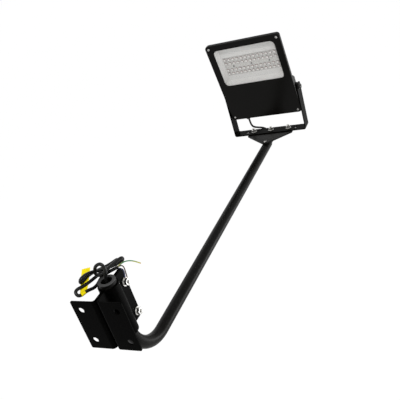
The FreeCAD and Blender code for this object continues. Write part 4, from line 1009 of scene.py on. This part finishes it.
class FLOODLIGHT_OT_arm(bpy.types.Operator):
    """Arm pipe, sleeve, bush and the weld between sleeve and pipe"""

    bl_idname = "floodlight.arm"
    bl_label = "Arm"
    bl_options = {"REGISTER", "UNDO"}

    def execute(self, context):
        pipe = new_piece("arm_pipe", pipe_mesh(arm_line(), 13.45 * MM, 10.85 * MM, 96),
                         "powder_coat", math.radians(25))
        stand_for(pipe, "arm", "black_paint", "arm_tube")
        sleeve = softened("arm_sleeve", "clamped_sleeve", "powder_coat", sizes().edge_round)
        stand_for(sleeve, "arm", "black_paint", "arm_sleeve")
        bush = softened("end_bush", "cable_bush", "black_plastic", 0.3 * MM)
        stand_for(bush, "arm", "black_plastic", "end_bush")
        foot, reach, parts = Vector((0, SLEEVE_REACH, -60.6 * MM)), 14.3 * MM, 96
        axis = Vector((0, 0, 1))
        first = axis.orthogonal().normalized()
        second = axis.cross(first)
        ring = [foot + (first * math.cos(angle) + second * math.sin(angle)) * reach
                for angle in (FULL_TURN * part / parts for part in range(parts + 1))]
        weld_bead("sleeve_weld", ring, 1.5 * MM, 0.4)
        return {"FINISHED"}


class FLOODLIGHT_OT_fishtail(bpy.types.Operator):
    """Fishtail plate, its two welds and its locking screw"""

    bl_idname = "floodlight.fishtail"
    bl_label = "Fishtail Bracket"
    bl_options = {"REGISTER", "UNDO"}

    def execute(self, context):
        plate = softened("fishtail_bracket", "fishtail_plate", "powder_coat",
                         sizes().edge_round)
        stand_for(plate, "arm", "black_paint", "fishtail_bracket")
        rib_side, rib_ends = 4.0 * MM, (987 * MM, 1030 * MM)
        for way, side in ((-1, "left"), (1, "right")):
            weld_bead("rib_weld_" + side,
                      [Vector((rib_side * way, reach, CROSSBAR_FOOT)) for reach in rib_ends],
                      1.3 * MM, way * 0.8)
        turned_over = Matrix.Rotation(math.pi, 4, Vector((0, 1, 0)))
        fasteners("arm_lock_screw",
                  button_screw_mesh(5 * MM, 2.5 * MM, 2.5 * MM, 9.0 * MM, 1.6 * MM),
                  [(0, 962 * MM, 119.25 * MM)], (0, 0, 1), STEEL, "arm", "bracket_screw",
                  turned_over)
        return {"FINISHED"}


class FLOODLIGHT_OT_yoke(bpy.types.Operator):
    """Yoke and the three bolts in its crossbar"""

    bl_idname = "floodlight.yoke"
    bl_label = "Yoke"
    bl_options = {"REGISTER", "UNDO"}

    def execute(self, context):
        def seats(level):
            pitch = 59 * MM
            return [(pitch * step, YOKE_REACH, level) for step in (-1, 0, 1)]
        # the yoke wears the powder coat darkened by painted shade
        bow = softened("yoke", "yoke_bow", "deep_coat", sizes().edge_round)
        stand_for(bow, "arm", "black_paint", "yoke")
        up, grip = (0, 0, 1), 19.15 * MM
        fasteners("yoke_bolts_shown", bolt_mesh(grip), seats(CROSSBAR_FOOT), up, ZINC,
                  "arm", "yoke_bolts", spin=0.3, spin_step=0.35)
        fasteners("yoke_washers_shown", washer_mesh(), seats(CROSSBAR_TOP), up, ZINC,
                  "arm", "yoke_washers")
        fasteners("yoke_nuts_shown", nut_mesh(), seats(CROSSBAR_TOP + WASHER_DEPTH), up,
                  ZINC, "arm", "yoke_nuts", spin=0.15, spin_step=0.5)
        return {"FINISHED"}


class FLOODLIGHT_OT_castings(bpy.types.Operator):
    """Housing and front frame of the lamp"""

    bl_idname = "floodlight.castings"
    bl_label = "Lamp Castings"
    bl_options = {"REGISTER", "UNDO"}

    def execute(self, context):
        body = softened("housing", "lamp_housing", "cast_coat", sizes().cast_round)
        stand_for(body, "head", "black_cast", "housing")
        face = softened("front_frame", "face_frame", "cast_coat", 0.6 * MM)
        stand_for(face, "head", "black_cast", "front_frame")
        return {"FINISHED"}


class FLOODLIGHT_OT_head_fasteners(bpy.types.Operator):
    """Cover screws, lens screws and the bolts that the lamp tilts on"""

    bl_idname = "floodlight.head_fasteners"
    bl_label = "Lamp Fasteners"
    bl_options = {"REGISTER", "UNDO"}

    def execute(self, context):
        place = head_matrix()
        corners = [(106.5 * MM * side, FACE_PLANE, (63.6 + 128.5 * up) * MM)
                   for side in (1, -1) for up in (1, -1)]
        fasteners("cover_screws_shown",
                  button_screw_mesh(3.8 * MM, 2.4 * MM, 2 * MM, 11 * MM, 1.5 * MM), corners,
                  (0, 1, 0), STEEL, "head", "cover_screws", place, 0.2, 0.7)
        seats = [(58 * MM * step, LENS_SEAT, OPTICS_UP) for step in (-1, 0, 1)]
        fasteners("lens_screws_shown",
                  button_screw_mesh(2.7 * MM, 1.5 * MM, 1.5 * MM, 6.05 * MM, 0.9 * MM), seats,
                  (0, 1, 0), DARK_ZINC, "head", "lens_screws", place)
        pivot_seat, grip = 122.65 * MM, 22.5 * MM
        for way, side in ((1, "right"), (-1, "left")):
            seat, inward = [(pivot_seat * way, 0, 0)], (-way, 0, 0)
            fasteners("pivot_bolt_" + side, bolt_mesh(grip), seat, inward, DARK_ZINC, "head",
                      "pivot_bolts", place, 0.3)
            fasteners("pivot_washer_" + side, washer_mesh(), seat, inward, DARK_ZINC, "head",
                      "pivot_washers", place)
        return {"FINISHED"}


class FLOODLIGHT_OT_optics(bpy.types.Operator):
    """Tray, glass, lenses and light emitters"""

    bl_idname = "floodlight.optics"
    bl_label = "Optics"
    bl_options = {"REGISTER", "UNDO"}

    def execute(self, context):
        tray = softened("reflector_tray", "optic_tray", "tray_white", 0.35 * MM)
        stand_for(tray, "head", "reflector", "reflector_tray")
        glass = softened("front_glass", "glass_pane", "front_pane", 0.3 * MM, 2)
        stand_for(glass, "head", "glass", "front_glass")
        rows = {"Columns": sizes().lens_columns, "Pitch": sizes().lens_pitch,
                "Inner Row": 11 * MM, "Outer Row": 24.5 * MM}
        middle = [(0, 0, 0)]

        def board(depth):
            return head_matrix() @ Matrix.Translation(Vector((0, depth, OPTICS_UP)))
        lens = rounded_block_mesh(4.8 * MM, 4.5 * MM, LENS_RISE, 2.8, True)
        domes = grown(rows_tree(), "lens_domes", middle, "Shape", lens, rows, "clear_lens",
                      board(LENS_SEAT), math.radians(50))
        sheet = softened("lens_plate", "lens_carrier", "lens_sheet", 0.2 * MM, 2)
        stand_for(domes, "head", "lens", "lens_plate")
        stand_for(sheet, "head", "lens")
        thickness = 0.8 * MM
        chip = rounded_block_mesh(2.7 * MM, 2.7 * MM, thickness, 6, False)
        chips = grown(rows_tree(), "emitters", middle, "Shape", chip, rows, "emitter",
                      board(-thickness))
        stand_for(chips, "head", "board")
        coated("led_board", "board_white")
        return {"FINISHED"}


class FLOODLIGHT_OT_inner(bpy.types.Operator):
    """Driver, gland and seals"""

    bl_idname = "floodlight.inner"
    bl_label = "Inner Parts"
    bl_options = {"REGISTER", "UNDO"}

    def execute(self, context):
        case = softened("led_driver", "driver_box", "driver_case", 1.2 * MM)
        stand_for(case, "head", "driver", "led_driver")
        gland = softened("cable_gland", "lead_gland", "black_plastic", 0.4 * MM)
        stand_for(gland, "head", "black_plastic", "cable_gland")
        coated("gland_nut", "black_plastic")
        coated("cover_gasket", "seal_rubber")
        coated("friction_washers", "black_plastic")
        return {"FINISHED"}


class FLOODLIGHT_OT_leads(bpy.types.Operator):
    """Cable inside the arm and from its end up to the lamp"""

    bl_idname = "floodlight.leads"
    bl_label = "Leads"
    bl_options = {"REGISTER", "UNDO"}

    def execute(self, context):
        line = smooth_route(ARM_LEAD_ROUTE)
        drawn_in = cable_along("cable_in_arm", line)
        stand_for(drawn_in, "arm", "cable_black", "arm_lead")
        line = smooth_route(HEAD_LEAD_ROUTE)
        slack = cable_along("cable_to_lamp", line)
        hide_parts("head_lead")
        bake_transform(slack)
        return {"FINISHED"}


class FLOODLIGHT_OT_cable(bpy.types.Operator):
    """Folded supply cable with its bared cores and its blank flag"""

    bl_idname = "floodlight.cable"
    bl_label = "Supply Cable"
    bl_options = {"REGISTER", "UNDO"}

    def execute(self, context):
        cores = []
        for core, route in CORE_ROUTES.items():
            cores += self.bared_core(core, smooth_route(route))
        line = smooth_route(HANK_ROUTE)
        flag = self.wound_flag(line)
        bundle = cable_along("cable_bundle", line)
        stand_for(bundle, "arm", "cable_black", "cable_hank")
        return {"FINISHED"}

    def bared_core(self, core, line):
        """An insulated core and the copper that shows at its end."""
        skin = new_piece("core_of_" + core, tube_mesh(line, sizes().core_diameter / 2, 16),
                         "skin_" + core, ROUND_ANGLE)
        stand_for(skin, "arm", CORE_SLOTS[core], "core_" + core)
        way = (line[-1] - line[-2]).normalized()
        hidden, bared = 1.5 * MM, 0.35 * MM
        wire = new_piece("strands_of_" + core, tube_mesh(
            [line[-1] - way * hidden, line[-1] + way * bared], 0.75 * MM, 12), "bare_copper")
        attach(wire, "arm")
        return [skin, wire]

    def wound_flag(self, line):
        nearest = min(line, key=lambda spot: (spot - FILM_MIDDLE).length)
        wound = [spot for spot in line if (spot - nearest).length < FILM_TURN / 2]
        foot = wound[len(wound) // 2] + LEAF_FOOT
        flag = new_piece("cable_flag", flag_mesh(
            wound, sizes().cable_diameter, foot, foot + LEAF_REACH,
            (wound[-1] - wound[0]).normalized(), LEAF_TIP_WAY, LEAF_WIDTH),
            "label_film", math.radians(50))
        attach(flag, "arm")
        return flag


# Stage

def area_lamp(name, place, size, power):
    """A soft lamp that points at the middle of the object."""
    lamp = bpy.data.lights.new(name, "AREA")
    lamp.shape = "RECTANGLE"
    lamp.size, lamp.size_y = size
    lamp.energy = power
    holder = linked(name, lamp)
    holder.location = place
    way = Vector((0, 0.55, 0)) - Vector(place)
    holder.rotation_euler = way.to_track_quat("-Z", "Y").to_euler()


def seen_directly(tree):
    """A socket that is 1 for camera, glossy and transmission rays."""
    path = tree.nodes.new("ShaderNodeLightPath")
    seen = path.outputs["Is Camera Ray"]
    for kind in ("Is Glossy Ray", "Is Transmission Ray"):
        either = tree.nodes.new("ShaderNodeMath")
        either.operation = "MAXIMUM"
        tree.links.new(seen, either.inputs[0])
        tree.links.new(path.outputs[kind], either.inputs[1])
        seen = either.outputs[0]
    return seen


def backdrop_world():
    """White where it is seen, and dimmer where it lights the object."""
    world = bpy.data.worlds.new("studio")
    bpy.context.scene.world = world
    world.use_nodes = True
    tree = world.node_tree
    tree.nodes.clear()
    strength = tree.nodes.new("ShaderNodeMapRange")
    tree.links.new(seen_directly(tree), strength.inputs["Value"])
    strength.inputs["To Min"].default_value = 0.6
    strength.inputs["To Max"].default_value = 1.0
    light = tree.nodes.new("ShaderNodeBackground")
    light.inputs["Color"].default_value = (1, 1, 1, 1)
    tree.links.new(strength.outputs["Result"], light.inputs["Strength"])
    out = tree.nodes.new("ShaderNodeOutputWorld")
    tree.links.new(light.outputs[0], out.inputs["Surface"])


def pale_floor():
    """A plain floor well below the lamp, which goes over into the white backdrop."""
    half, level = 30, -1.6
    mesh = bpy.data.meshes.new("studio_floor")
    mesh.from_pydata([(-half, -half, level), (half, -half, level), (half, half, level),
                      (-half, half, level)], [], [(0, 1, 2, 3)])
    f = Finish("studio_floor")
    paint = f.node("BsdfPrincipled", None, {
        "Base Color": f.mix(f.noise(2), (0.88, 0.88, 0.88, 1), (0.90, 0.90, 0.90, 1)),
        "Roughness": 0.7})
    glow = f.node("Emission", None, {"Strength": 1.06})
    share = Signal(f, seen_directly(f.tree)) * 0.88
    f.node("OutputMaterial", None, {
        "Surface": f.node("MixShader", None, {0: share, 1: paint, 2: glow})})
    mesh.materials.append(f.material)
    linked("studio_floor", mesh)


def photo_camera():
    """The camera that stands where the photograph was taken."""
    right = Vector((0.893956, 0.351369, -0.278179))
    down = Vector((-0.056035, -0.528212, -0.847262))
    forward = Vector((-0.444638, 0.773002, -0.452509))
    place = Matrix.Translation((0.593923, -0.580521, 0.583748))
    view = bpy.data.cameras.new("view")
    view.sensor_width = 36
    view.lens = 50.3015
    view.clip_start = 0.01
    view.clip_end = 50
    holder = linked("view", view)
    holder.matrix_world = place @ Matrix((right, -down, -forward)).transposed().to_4x4()
    bpy.context.scene.camera = holder


class FLOODLIGHT_OT_stage(bpy.types.Operator):
    """Camera, lamps, floor and backdrop"""

    bl_idname = "floodlight.stage"
    bl_label = "Stage"
    bl_options = {"REGISTER", "UNDO"}

    def execute(self, context):
        photo_camera()
        backdrop_world()
        pale_floor()
        area_lamp("key", (0.9, -1.8, 2.1), (0.6, 0.6), 46)
        area_lamp("side", (1.9, 1.5, -0.9), (2.4, 0.9), 40)
        area_lamp("back", (-2.2, 2.6, 1.9), (1.6, 1.6), 8)
        context.scene.view_settings.view_transform = "Standard"
        return {"FINISHED"}


OPERATORS = (
    FLOODLIGHT_OT_bracket, FLOODLIGHT_OT_clamp, FLOODLIGHT_OT_arm, FLOODLIGHT_OT_fishtail,
    FLOODLIGHT_OT_yoke, FLOODLIGHT_OT_castings, FLOODLIGHT_OT_head_fasteners,
    FLOODLIGHT_OT_optics, FLOODLIGHT_OT_inner, FLOODLIGHT_OT_leads, FLOODLIGHT_OT_cable,
    FLOODLIGHT_OT_stage,
)


class FLOODLIGHT_PT_panel(bpy.types.Panel):
    """Lists the sizes, the colours and the steps of the dressing"""

    bl_label = "Sign Floodlight"
    bl_idname = "FLOODLIGHT_PT_panel"
    bl_space_type = "VIEW_3D"
    bl_region_type = "UI"
    bl_category = "Floodlight"

    def draw(self, context):
        for group in (context.scene.floodlight_sizes, context.scene.floodlight_colours):
            box = self.layout.box()
            for name in group.__annotations__:
                box.prop(group, name)
        for step in OPERATORS:
            self.layout.operator(step.bl_idname)


CLASSES = (FloodlightSizes, FloodlightColours, *OPERATORS, FLOODLIGHT_PT_panel)


def register():
    for cls in CLASSES:
        bpy.utils.register_class(cls)
    bpy.types.Scene.floodlight_sizes = PointerProperty(type=FloodlightSizes)
    bpy.types.Scene.floodlight_colours = PointerProperty(type=FloodlightColours)


def unregister():
    del bpy.types.Scene.floodlight_colours
    del bpy.types.Scene.floodlight_sizes
    for cls in reversed(CLASSES):
        bpy.utils.unregister_class(cls)


def main():
    register()
    for step in OPERATORS:
        getattr(bpy.ops.floodlight, step.bl_idname.split(".")[1])()


if __name__ == "__main__":
    main()
